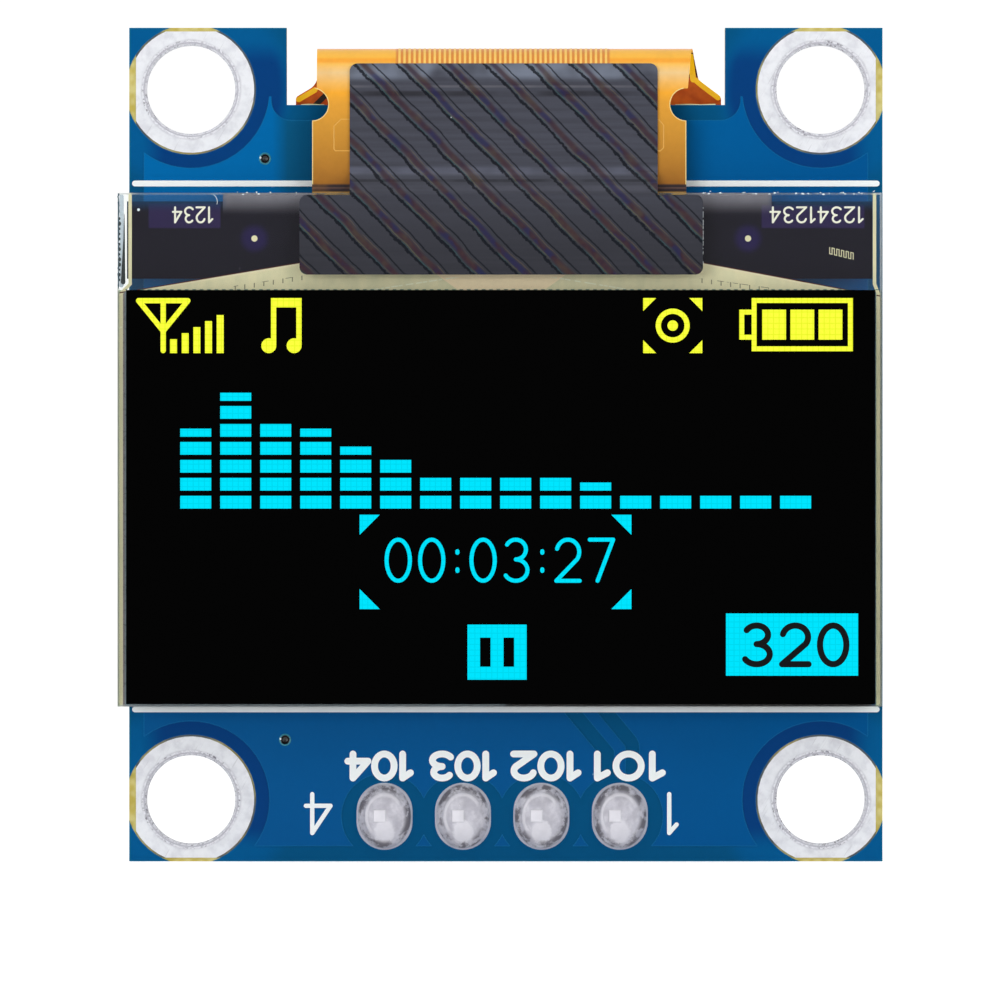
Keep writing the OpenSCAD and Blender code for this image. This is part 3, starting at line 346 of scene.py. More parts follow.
def dust_effect() -> bpy.types.NodeTree:
    """Makes small round specks, scattered over a surface.

    Each cell of a Voronoi pattern holds one speck, and only cells whose random value is under
    Share show theirs. A speck's radius is a share of its cell.

    Returns:
        The group.
    """
    sheet = Effect("dust", "Mask", {"Cell": 0.001, "Radius": 0.1, "Share": 0.3})
    cell, radius, share = sheet.given
    cells = sheet.node("ShaderNodeTexVoronoi", {"Vector": sheet.place(), "Scale": 1.0 / cell}, feature="F1")
    near = Value(sheet, cells.outputs["Distance"]) < radius
    picked = sheet.run("ShaderNodeSeparateColor", {0: cells.outputs["Color"]}) < share
    return sheet.finished(near * picked)


def grain_effect() -> bpy.types.NodeTree:
    """Makes the fine unevenness of a surface: two noises, one six times the size, added.

    Returns:
        The group, whose Height is about 0.5 on average.
    """
    sheet = Effect("grain", "Height", {"Size": 0.0002, "Coarse": 0.3})
    size, coarse = sheet.given
    fine, wide = [
        sheet.run("ShaderNodeTexNoise", {"Vector": sheet.place(), "W": seed, "Scale": 1 / share / size},
                  noise_dimensions="4D") for share, seed in ((1.0, 1.0), (6.0, 2.0))]
    return sheet.finished(fine * (1.0 - coarse) + wide * coarse)


def scratch_effect() -> bpy.types.NodeTree:
    """Makes fine scratches: noise stretched along one direction of the board's plane.

    The direction leans by Slant, the metres that X moves for each metre of Z. Noise is read at
    a place whose long axis is shrunk to a twentieth, and its peaks are kept.

    Returns:
        The group.
    """
    sheet = Effect("scratches", "Mask", {"Width": 0.00004, "Slant": 0.4, "Amount": 0.4})
    width, slant, amount = sheet.given
    x, y, z = sheet.axes()
    place = sheet.point(x - z * slant, y, (z + x * slant) * 0.05)
    stretched = sheet.run("ShaderNodeTexNoise", {"Vector": place, "Scale": 1.0 / width, "Detail": 1.0})
    return sheet.finished(sheet.math("MULTIPLY", stretched - (0.8 - amount * 0.4), 12.0, clamp=True))


class Effects:
    """The shared effects, made once."""

    window = window_effect()
    dust = dust_effect()
    grain = grain_effect()
    scratches = scratch_effect()


# ---- sizes from the frame ------------------------------------------------------------


class Axis(Enum):
    """An axis of the frame."""

    X = 0
    Y = 1
    Z = 2


@dataclass(frozen=True)
class Extent:
    """The box of a node, by the places of its six sides.

    Attributes:
        left: Lowest X.
        front: Lowest Y.
        foot: Lowest Z.
        right: Highest X.
        back: Highest Y.
        top: Highest Z.
    """

    left: float
    front: float
    foot: float
    right: float
    back: float
    top: float

    @property
    def centre(self) -> tuple[float, float, float]:
        """Gives the middle of the box."""
        return ((self.left + self.right) / 2, (self.front + self.back) / 2, (self.foot + self.top) / 2)


def extent(node: str) -> Extent:
    """Reads a node's box from the frame."""
    low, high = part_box(node)
    return Extent(*low, *high)


BOARD = extent("board_laminate")
MASK = extent("front_solder_mask")
GLASS = extent("front_glass")
FLEX = extent("flex_circuit")
TAPE = extent("light_shield_tape")
PIN = extent("header_pin_1")
PICTURE = extent("polariser")
HOLE_INSET = 2.0 * MM
HOLE_X = BOARD.right - HOLE_INSET
HOLE_Z = BOARD.top - HOLE_INSET


def from_hole(sheet: Sheet) -> tuple[Value, Value]:
    """Gives the offset outwards from the nearest mounting hole's axis, along X and along Z."""
    x, _, z = sheet.axes()
    return abs(x) - HOLE_X, abs(z) - HOLE_Z


# ---- finishes ------------------------------------------------------------------------


@dataclass(frozen=True)
class Finish:
    """A surface finish, which makes one material.

    Attributes:
        name: Name of the material.
        colour: Main colour as a code.
        roughness: Mean roughness.
        metallic: 1 for bare metal.
        specular: Specular level.
        coat: Weight of a clear coat.
        grain: Size of the fine unevenness, in metres.
        depth: Height of that unevenness, in metres.
        tint: Change of brightness with the grain.
    """

    name: str
    colour: str
    roughness: float = 0.5
    metallic: float = 0.0
    specular: float = 0.5
    coat: float = 0.0
    grain: float = 0.15 * MM
    depth: float = 0.002 * MM
    tint: float = 0.08

    def material(self) -> bpy.types.Material:
        """Makes the material, or gives the one made before."""
        made = bpy.data.materials.get(self.name)
        if made is not None:
            return made
        made = bpy.data.materials.new(self.name)
        made.use_nodes = True
        sheet = Sheet(made.node_tree)
        shader = made.node_tree.nodes["Principled BSDF"]
        bump = {"Strength": 1.0, "Distance": self.depth, "Height": self.height(sheet)}
        sheet.fill(shader, {
            "Metallic": self.metallic, "Specular IOR Level": self.specular, "Coat Weight": self.coat,
            "Coat Roughness": 0.08, "Base Color": self.paint(sheet), "Roughness": self.gloss(sheet),
            "Normal": sheet.run("ShaderNodeBump", bump)})
        self.extra(sheet, shader)
        return made

    def grains(self, sheet: Sheet) -> Value:
        """Gives the height of the fine unevenness."""
        return sheet.effect(Effects.grain, Size=self.grain)

    def shade(self, sheet: Sheet, colour: Feed) -> Value:
        """Varies the brightness of a colour with the grain."""
        light = self.grains(sheet).spread(1 - 2 * self.tint, 1 + 2 * self.tint)
        return sheet.mix(1.0, colour, sheet.point(light, light, light), "MULTIPLY")

    def paint(self, sheet: Sheet) -> Value:
        """Gives the colour over the surface."""
        return self.shade(sheet, tone(self.colour))

    def gloss(self, sheet: Sheet) -> Value:
        """Gives the roughness over the surface."""
        return self.grains(sheet).spread(self.roughness * 0.8, min(1.0, self.roughness * 1.2))

    def height(self, sheet: Sheet) -> Value:
        """Gives the height that the bump is made from, as a share of the depth."""
        return self.grains(sheet)

    def extra(self, sheet: Sheet, shader: bpy.types.Node) -> None:
        """Sets what only this finish has."""


@dataclass(frozen=True)
class MaskFinish(Finish):
    """Blue solder mask, lighter where copper lifts it off the laminate.

    Attributes:
        bare: Colour over bare laminate.
        corner: Colour of that laminate beside the mounting lands.
        ring: Deeper blue in the copper-free rings round the mounting lands.
        low: Colour over copper at the board's foot.
        east: Colour over copper at the right.
        shaded: Painted shade beside the flex circuit.
        line: Colour of the painted highlight along the rounded edge of the copper.
        brim: Colour where the mask thins out at the board's edge.
        speck: Colour of the specks.
        edge: Radius over which the mask rounds the copper's edge.
    """

    bare: str = "045280"
    corner: str = "025E9C"
    ring: str = "063E7C"
    low: str = "085692"
    east: str = "015593"
    shaded: str = "085580"
    line: str = "1F7DB4"
    brim: str = "0F7486"
    speck: str = "8FC4E0"
    edge: float = 0.05 * MM

    def paint(self, sheet: Sheet) -> Value:
        """Gives the mask's colour from its level and place, with painted shade beside the flex circuit, a
        painted highlight along the copper's edges, and a few specks.
        """
        x, y, z = sheet.axes()
        core = BOARD.centre[1]
        over_copper = abs(y - core) > core - MASK.front - (MASK.back - MASK.front) / 4
        # Painted shade on the mask beside the flex circuit, which shades it.
        flex_shade = sheet.inside(
            FLEX.left - 0.5 * MM, FLEX.right - 1.1 * MM, GLASS.top, BOARD.top, 0.5 * MM)
        copper = sheet.layers(
            self.low, (z.smooth(BOARD.foot * 0.6, BOARD.top * 0.8), self.colour, 1.0),
            (x.smooth(0.0, BOARD.right), self.east, 1.0), (flex_shade, self.shaded, 1.0))
        aside, above = from_hole(sheet)
        far = sheet.length(aside, above)
        ringed = far.smooth(3.3 * MM, 2.8 * MM) * (aside | above).smooth(1.7 * MM, 0.8 * MM)
        inner = sheet.inside(-BOARD.right, BOARD.right, BOARD.foot, BOARD.top, 0.16 * MM)
        # The copper's rounded edges get a painted highlight in the line colour.
        return self.shade(sheet, sheet.layers(
            self.bare, (far.smooth(3.6 * MM, 2.8 * MM), self.corner, 0.6), (ringed, self.ring, 1.0),
            (over_copper, copper, 1.0), (self.edge_highlight_mask(sheet), self.line, 0.6),
            (inner.smooth(1.0, 0.45), self.brim, 0.5), (sheet.dust(1.3 * MM, 0.03, 0.2), self.speck, 0.5)))

    def edge_highlight_mask(self, sheet: Sheet) -> Value:
        """Marks where the edges, once rounded, turn away from the flat faces, where the painted highlight
        goes.
        """
        flat = sheet.run("ShaderNodeNewGeometry", output="True Normal")
        rounded = sheet.run("ShaderNodeBevel", {"Radius": self.edge}, samples=4)
        turn = sheet.run("ShaderNodeVectorMath", {0: flat, 1: rounded}, "Value", operation="DOT_PRODUCT")
        return turn.smooth(0.99, 0.8)


@dataclass(frozen=True)
class LaminateFinish(Finish):
    """Glass-fibre laminate: cloth on its faces, and thin layers on its cut edges.

    Attributes:
        pale: Colour of the fibres.
        shaded: Painted shade on the thin ring that shows round the mounting lands.
        cloth: Pitch of the cloth.
        layer: Thickness of a layer.
    """

    pale: str = "D6CB86"
    shaded: str = "47586C"
    cloth: float = 0.4 * MM
    layer: float = 0.09 * MM

    def height(self, sheet: Sheet) -> Value:
        """Multiplies two waves across each other, and adds noise squeezed into layers along Y."""
        x, y, z = sheet.axes()
        turns = 2 * math.pi / self.cloth
        cloth = sheet.math("SINE", x * turns) * sheet.math("SINE", z * turns)
        return cloth * 0.12 + sheet.noise(self.layer, sheet.point(x * 0.12, y, z * 0.12))

    def paint(self, sheet: Sheet) -> Value:
        """Mixes the resin's colour with that of the fibres, and paints shade on the face at the lands."""
        x, y, z = sheet.axes()
        land = extent("mounting_land_2")
        within = ((abs(x) - land.right) < 0.0) * ((abs(z) - land.top) < 0.0)
        cloud = sheet.noise(1.4 * MM, seed=6.0).smooth(0.45, 0.6).spread(0.9, 0.35)
        return self.shade(sheet, sheet.layers(
            self.colour, (self.height(sheet).smooth(0.3, 0.7), self.pale, 1.0),
            (within * (y < 0.01 * MM) * cloud, self.shaded, 1.0)))


@dataclass(frozen=True)
class LandFinish(Finish):
    """Tinned copper of the mounting lands, with the edge that rolls into the hole painted greyer as shade.

    Attributes:
        rim: Colour of the painted shade on the rolled edge.
        blot: Colour of the dull blots.
        scratch: Colour of the scratches.
        hole: Radius of the hole.
        roll: Width of the rolled edge.
    """

    rim: str = "BDBCC6"
    blot: str = "CBCCD5"
    scratch: str = "A9A8AE"
    hole: float = 1.5 * MM
    roll: float = 0.16 * MM

    def paint(self, sheet: Sheet) -> Value:
        """Paints shade on the rolled edge, and adds scratches and dull blots."""
        wander = sheet.noise(0.7 * MM).spread(-0.08 * MM, 0.08 * MM)
        out = sheet.length(*from_hole(sheet)) + wander
        blots = sheet.noise(0.5 * MM, detail=4.0, roughness=0.6, seed=4.0).smooth(0.42, 0.7)
        # The rim colour near the hole is painted shade; the land's own colour lies beyond it.
        return self.shade(sheet, sheet.layers(
            self.rim, (out.smooth(self.hole + 0.02 * MM, self.hole + self.roll), self.colour, 1.0),
            (blots, self.blot, 0.55), (sheet.scratches(0.05 * MM, 0.6, 0.3), self.scratch, 0.3)))


@dataclass(frozen=True)
class DomeFinish(Finish):
    """Solder of the header's joints: matt and pale, with dark patches near its rim and painted highlights on
    top and at its edge.

    Attributes:
        rim: Colour of the dark patches.
        bright: Colour of the painted highlights: the patches on top and the outermost edge.
        swirl: Paler colour of the fine swirls.
        cloud: Colour of the dull clouds.
        spark: Colour of the small bright dots.
        pitch: Spacing of the joints.
        wide: Half the width of a joint.
        tall: Half the height of a joint.
        square: Half the side of the square patch over the pin's end.
    """

    rim: str = "5A555C"
    bright: str = "EDEBF2"
    swirl: str = "DAD8E0"
    cloud: str = "A5A3AE"
    spark: str = "FFFFFF"
    pitch: float = 2.54 * MM
    wide: float = 0.905 * MM
    tall: float = 1.085 * MM
    square: float = 0.2 * MM

    def offset(self, sheet: Sheet) -> tuple[Value, Value]:
        """Gives X and Z measured from the axis of the nearest joint."""
        x, _, z = sheet.axes()
        return (x - PIN.centre[0]).off(self.pitch) * self.pitch, z - PIN.centre[2]

    def out(self, sheet: Sheet, below: float = 0.0, size: float = 1.0) -> Value:
        """Gives 0 at a joint's axis and 1 at its rim, as the length of the scaled offset.

        Args:
            sheet: The sheet to add to.
            below: How far under the axis the middle is taken.
            size: Scale of the shape that has the value 1 at its rim.

        Returns:
            The value.
        """
        aside, above = self.offset(sheet)
        return sheet.length(aside / (self.wide * size), (above + below) / (self.tall * size))

    def flat_top(self, sheet: Sheet) -> Value:
        """Masks the square patch over the pin's end, a little left of the axis; its brightness is a painted
        highlight.
        """
        aside, above = self.offset(sheet)
        out = abs(aside + 0.16 * MM) | abs(above - 0.02 * MM)
        return out.smooth(self.square + 0.02 * MM, self.square - 0.03 * MM)

    def arc(self, sheet: Sheet) -> Value:
        """Masks a curved ridge round the square patch, open at its lower right."""
        aside, above = self.offset(sheet)
        gap = abs(self.out(sheet, size=0.66) - 1.0)
        return gap.smooth(0.13, 0.04) * (above - aside).smooth(-0.3 * MM, 0.2 * MM)

    def paint(self, sheet: Sheet) -> Value:
        """Lays swirls and clouds, the painted highlights on top, the dark patches, the painted highlight on
        the outermost edge, and bright dots.
        """
        out = self.out(sheet)
        swirl = sheet.noise(0.12 * MM, detail=3.0, roughness=0.6, seed=2.0)
        # ragged: a patch under the axis, painted as a highlight.
        ragged = self.out(sheet, 0.5 * MM, 0.42) + swirl.spread(-0.35, 0.35)
        ring = out.smooth(0.66, 0.84) * out.smooth(0.97, 0.92)
        blots = sheet.noise(0.42 * MM, detail=5.0, roughness=0.65, seed=3.3).smooth(0.43, 0.56)
        return self.shade(sheet, sheet.layers(
            self.colour, (swirl.smooth(0.3, 0.75), self.swirl, 1.0),
            (sheet.noise(0.5 * MM, seed=7.0).smooth(0.4, 0.65), self.cloud, 0.5),
            (ragged.smooth(1.0, 0.7), self.bright, 0.75), (self.flat_top(sheet), self.bright, 0.85),
            (self.arc(sheet), self.bright, 0.55), (ring * blots, self.rim, 0.85),
            (out.smooth(0.94, 0.98), self.bright, 0.6), (sheet.dust(0.3 * MM, 0.08, 0.15), self.spark, 1.0)))

    def height(self, sheet: Sheet) -> Value:
        """Gives a soft ripple, rougher near the rim, with the square and the ridge raised."""
        fine = sheet.noise(0.12 * MM) * self.out(sheet).smooth(0.3, 1.0)
        raised_parts = (self.flat_top(sheet) + self.arc(sheet)) * 0.7
        return fine + raised_parts + sheet.noise(0.4 * MM, seed=3.0)


@dataclass(frozen=True)
class ScratchedMetal(Finish):
    """Plated metal with fine scratches.

    Attributes:
        dull: Brightness of the scratches.
    """

    dull: float = 0.75

    def paint(self, sheet: Sheet) -> Value:
        """Darkens the scratches a little."""
        lines = sheet.scratches(0.03 * MM, 0.1, 0.4)
        dark = sheet.mix(1.0, tone(self.colour), (self.dull, self.dull, self.dull, 1.0), "MULTIPLY")
        return self.shade(sheet, sheet.layers(self.colour, (lines, dark, 1.0)))


@dataclass(frozen=True)
class GlassFinish(Finish):
    """Clear glass with ground, lightly chipped edges.

    Attributes:
        cold: Slightly cooler colour, mixed in by the grain.
        ground: Width of the ground edge.
    """

    cold: str = "F8FDFB"
    ground: float = 0.06 * MM

    def paint(self, sheet: Sheet) -> Value:
        """Gives the glass its plain, slightly green colour."""
        return sheet.layers(self.colour, (self.grains(sheet), self.cold, 1.0))

    def gloss(self, sheet: Sheet) -> Value:
        """Polishes the faces and dulls the ground edges."""
        inner = sheet.inside(GLASS.left + self.ground, GLASS.right - self.ground,
                             GLASS.foot + self.ground, GLASS.top - self.ground, 0.03 * MM)
        return inner.spread(0.5, self.roughness)

    def extra(self, sheet: Sheet, shader: bpy.types.Node) -> None:
        """Makes it clear, and lets lamps through it."""
        sheet.fill(shader, {"Transmission Weight": 1.0, "IOR": 1.5})
        path = sheet.node("ShaderNodeLightPath").outputs
        seen = sheet.math("MAXIMUM", path["Is Shadow Ray"], path["Is Diffuse Ray"])
        lamps = sheet.run("ShaderNodeBsdfTransparent", {0: (0.98, 0.99, 0.99, 1.0)})
        choice = sheet.run("ShaderNodeMixShader", {0: seen, 1: shader.outputs[0], 2: lamps})
        sheet.fill(sheet.tree.nodes["Material Output"], {"Surface": choice})


@dataclass(frozen=True)
class LedgeFilmFinish(Finish):
    """Black film behind the ledge, with violet patches, halos round the dots, and painted sheen as grey
    bands at its ends.

    Attributes:
        violet: Colour of the patches.
        halo: Colour round the alignment dots.
        sheen: Colour of the painted sheen, the grey bands at the top.
        haze: Colour of the blue light beyond those bands.
        bond: Colour of the flex circuit's foot, where it shows at the glass's top edge.
        speck: Colour of the specks.
        dot_out: Distance of the dots from the tape's ends.
        dot_drop: Distance of the dots under the glass's top.
    """

    violet: str = "30264E"
    halo: str = "28204A"
    sheen: str = "8E8B94"
    haze: str = "143E62"
    bond: str = "C79A45"
    speck: str = "7A7A88"
    dot_out: float = 1.46 * MM
    dot_drop: float = 1.47 * MM

    def paint(self, sheet: Sheet) -> Value:
        """Lays the patches, halos and grey bands of painted sheen over the black."""
        x, _, z = sheet.axes()
        top, over = GLASS.top, GLASS.top + 1 * MM
        patches = (
            (GLASS.left + 1.0 * MM, GLASS.left + 3.32 * MM, 0.34 * MM),
            (GLASS.right - 3.88 * MM, GLASS.right - 0.56 * MM, 0.39 * MM))
        colour: Colour = self.colour
        for left, right, drop in patches:
            patch = sheet.inside(left, right, top - 1.13 * MM, top - drop, 0.05 * MM)
            colour = sheet.layers(colour, (patch, self.violet, 0.9))
        for at in (TAPE.left - self.dot_out, TAPE.right + self.dot_out):
            far = sheet.length(x - at, z - (top - self.dot_drop))
            colour = sheet.layers(colour, (far.smooth(0.55 * MM, 0.25 * MM), self.halo, 1.0))
        fade = z.smooth(top - 0.75 * MM, top + 0.1 * MM)
        bands = (
            (GLASS.left + 3.4 * MM, TAPE.left + 0.5 * MM), (TAPE.right - 0.5 * MM, GLASS.right - 3.56 * MM))
        for left, right in bands:
            side, soft_side = [
                sheet.inside(left, right, top - 2 * MM, over, soft * MM) for soft in (0.02, 0.3)]
            outer = (1.0 - soft_side) * (x > 0.0 if left > 0 else x < 0.0)
            haze = z.smooth(top - 0.62 * MM, top - 0.2 * MM) * outer
            cloud = sheet.noise(0.5 * MM).spread(0.75, 1.0)
            colour = sheet.layers(colour, (side * fade * cloud, self.sheen, 1.0), (haze, self.haze, 0.8))
        middle = FLEX.centre[0]
        foot = sheet.inside(middle - 6.35 * MM, middle + 5.75 * MM, top - 0.12 * MM, over, 0.02 * MM)
        flecks = sheet.noise(0.14 * MM, seed=6.0).smooth(0.42, 0.5)
        return self.shade(sheet, sheet.layers(
            colour, (foot * flecks, self.bond, 1.0), (sheet.dust(0.8 * MM, 0.03, 0.35), self.speck, 0.4)))


@dataclass(frozen=True)
class FanFinish(Finish):
    """Pale green conductor with a beige middle, fine dark ticks and pale dashes.

    All places are measured from the display's top edge (rise) and from X = 0.

    Attributes:
        beige: Colour of the middle.
        streak: Darker colour of the soft upright streaks.
        cream: Colour of the line under the fan's upper edge.
        rust: Colour of that edge itself.
        ink: Colour of the ticks.
        dash: Colour of the dashes.
        teal: Colour of the row of dots at the foot.
        half: Half the width of the middle at the fan's foot.
        flare: How much wider half the middle gets for each metre of height.
        foot: Rise of the fan's upper edge at its two ends.
        crest: Rise of the upper edge at the tape's sides.
        tick: Pitch of the ticks.
        tick_end: X of the first tick, left of the middle.
    """

    beige: str = "FFE8C0"
    streak: str = "E0DAB2"
    cream: str = "EFE4BE"
    rust: str = "5A2A22"
    ink: str = "4C4A38"
    dash: str = "F3F4DC"
    teal: str = "2F6E6C"
    half: float = 1.37 * MM
    flare: float = 1.4
    foot: float = 0.02 * MM
    crest: float = 0.9 * MM
    tick: float = 0.308 * MM
    tick_end: float = 8.75 * MM

    def roof(self, x: Value, left: tuple[float, float], right: tuple[float, float],
             slopes: tuple[float, float]) -> Value:
        """Gives the lower of two slanting lines, as a rise over X.

        Args:
            x: The X value.
            left: X and rise of a point on the line that climbs to the right.
            right: X and rise of a point on the line that falls to the right.
            slopes: How steep the two lines are.

        Returns:
            The rise.
        """
        return ((x - left[0]) * slopes[0] + left[1]) & (right[1] - (x - right[0]) * slopes[1])

    def ticks(self, sheet: Sheet, x: Value, rise: Value, aside: Value) -> Value:
        """Masks upright ticks that hang from a slanting line, and pieces of that line.

        Args:
            sheet: The sheet to add to.
            x: The X value.
            rise: Height above the display's top edge.
            aside: Distance from the tape's middle.

        Returns:
            The mask.
        """
        tops = self.roof(x, (-self.tick_end, 0.14 * MM), (6.28 * MM, 0.39 * MM), (0.154, 0.138))
        drop = tops - rise
        near = abs((x + self.tick_end).off(self.tick))
        upright = near.smooth(0.07, 0.04) * drop.within(0.0, 0.15 * MM)
        broken = sheet.noise(0.45 * MM, sheet.point(x, 0.0, 0.0), seed=4.0).smooth(0.5, 0.54)
        level = drop.within(0.0, 0.02 * MM) * broken
        return (self.beside(aside) * (aside < self.tick_end - 0.1 * MM)) * (upright | level)

    def beside(self, aside: Value) -> Value:
        """Gives 1 beside the tape, and just under its ends."""
        return aside > (TAPE.right - TAPE.left) / 2 - 0.1 * MM

    def paint(self, sheet: Sheet) -> Value:
        """Lays the beige middle, the edge lines, the ticks, the dashes and the dots at the foot."""
        x, _, z = sheet.axes()
        rise = z - PICTURE.top
        aside = abs(x - TAPE.centre[0])
        streak = sheet.noise(0.5 * MM, sheet.point(x, 0.0, z * 0.2))
        lean = aside - rise * self.flare
        end_l, end_r = GLASS.left + 0.62 * MM, GLASS.right - 1.1 * MM
        climb = self.crest - self.foot
        slopes = (climb / (TAPE.left - end_l), climb / (end_r - TAPE.right))
        under = self.roof(x, (end_l, self.foot), (end_r, self.foot), slopes) - rise
        beside = self.beside(aside)
        gap = abs(rise - self.roof(x, (-4.4 * MM, 0.0), (1.63 * MM, 0.4 * MM), (0.149, 0.163)))
        broken = sheet.noise(0.16 * MM, sheet.point(x, 0.0, 0.0), seed=8.0).smooth(0.42, 0.5)
        dashes = gap.smooth(0.03 * MM, 0.012 * MM) * broken * (rise < 0.41 * MM)
        dots = abs(x.off(0.24 * MM)).smooth(0.3, 0.2) * rise.within(0.0, 0.035 * MM)
        return self.shade(sheet, sheet.layers(
            self.colour, (streak.smooth(0.3, 0.7), self.streak, 1.0),
            (lean.smooth(self.half + 0.05 * MM, self.half - 0.01 * MM), self.beige, 1.0),
            (beside * under.within(0.03 * MM, 0.09 * MM), self.cream, 0.8),
            (beside * under.within(-0.01 * MM, 0.03 * MM), self.rust, 1.0),
            (self.ticks(sheet, x, rise, aside), self.ink, 0.75), (dashes, self.dash, 0.7),
            (dots, self.teal, 0.8)))


@dataclass(frozen=True)
class FlexFinish(Finish):
    """Amber film of the flex circuit: darker towards the glass, with a painted highlight at the fold and
    painted shadow just above the glass's edge.

    Attributes:
        inside: Colour of its inner face.
        burnt: Darker colour in that face.
        shadow: Painted shadow on that face up in the fold.
        side: Colour of its cut edges.
        between: Colour between the tracks.
        cloud: Colour of the soft clouds.
        speck: Colour of the specks.
        field: X of the field of tracks' middle, left of 0.
    """

    inside: str = "FF7D20"
    burnt: str = "E05A10"
    shadow: str = "5A2206"
    side: str = "F3C822"
    between: str = "DB8434"
    cloud: str = "D8942F"
    speck: str = "8A5A18"
    field: float = 0.1 * MM

    def bands(self, sheet: Sheet, z: Value) -> Value:
        """Runs through the film's tones, by their heights over the glass and under the fold's top. The paler
        tones under the fold's top are a painted highlight on its curve, and the dark tones just above the
        glass are a painted shadow of the glass's edge.
        """
        # The dark tones just over the glass are painted shadow of the glass's edge.
        over_glass = (
            (-0.1, "D2B474"), (0.03, "B08848"), (0.06, "2A1C20"), (0.14, "35242A"), (0.17, "6E5048"),
            (0.2, "2E2024"), (0.26, "2E2024"), (0.32, "A0661A"), (1.2, "BC8026"), (2.2, "D4952F"))
        under_top = (
            # The pale tones round the fold are a painted highlight.
            (1.75, "EBA432"), (1.45, "FBAE2A"), (1.15, "FABD5E"), (0.8, "F3CC8E"), (0.52, "FCC050"),
            (0.44, "FCA928"), (0.36, "FCA928"), (0.29, "FFBE40"), (0.06, "FFC048"), (0.0, "FFB890"))
        return sheet.ramp(z, [(GLASS.top + at * MM, code) for at, code in over_glass]
                          + [(FLEX.top - at * MM, code) for at, code in under_top])

    def paint(self, sheet: Sheet) -> Value:
        """Blends the tones by height, then the inner face, the cut edges and the track field."""
        x, y, z = sheet.axes()
        tracked = abs(x + self.field).smooth(3.5 * MM, 3.42 * MM) * (y > FLEX.front + 0.02 * MM)
        facing = sheet.split(sheet.run("ShaderNodeNewGeometry", output="True Normal"))
        # The inner face's burnt tones, with painted shadow up in the fold.
        burn_and_shadow = sheet.layers(
            self.inside, (sheet.noise(0.5 * MM).smooth(0.4, 0.75), self.burnt, 1.0),
            (z.smooth(FLEX.top - 0.98 * MM, FLEX.top - 0.86 * MM), self.shadow, 1.0))
        return self.shade(sheet, sheet.layers(
            self.bands(sheet, z), (sheet.noise(1.2 * MM, detail=3.0).smooth(0.45, 0.8), self.cloud, 0.3),
            (tracked, self.between, 0.85), ((facing[1] < -0.1) * (y > FLEX.centre[1]), burn_and_shadow, 1.0),
            (abs(facing[0]) > 0.3, self.side, 1.0), (sheet.dust(0.7 * MM, 0.04, 0.3), self.speck, 0.4)))


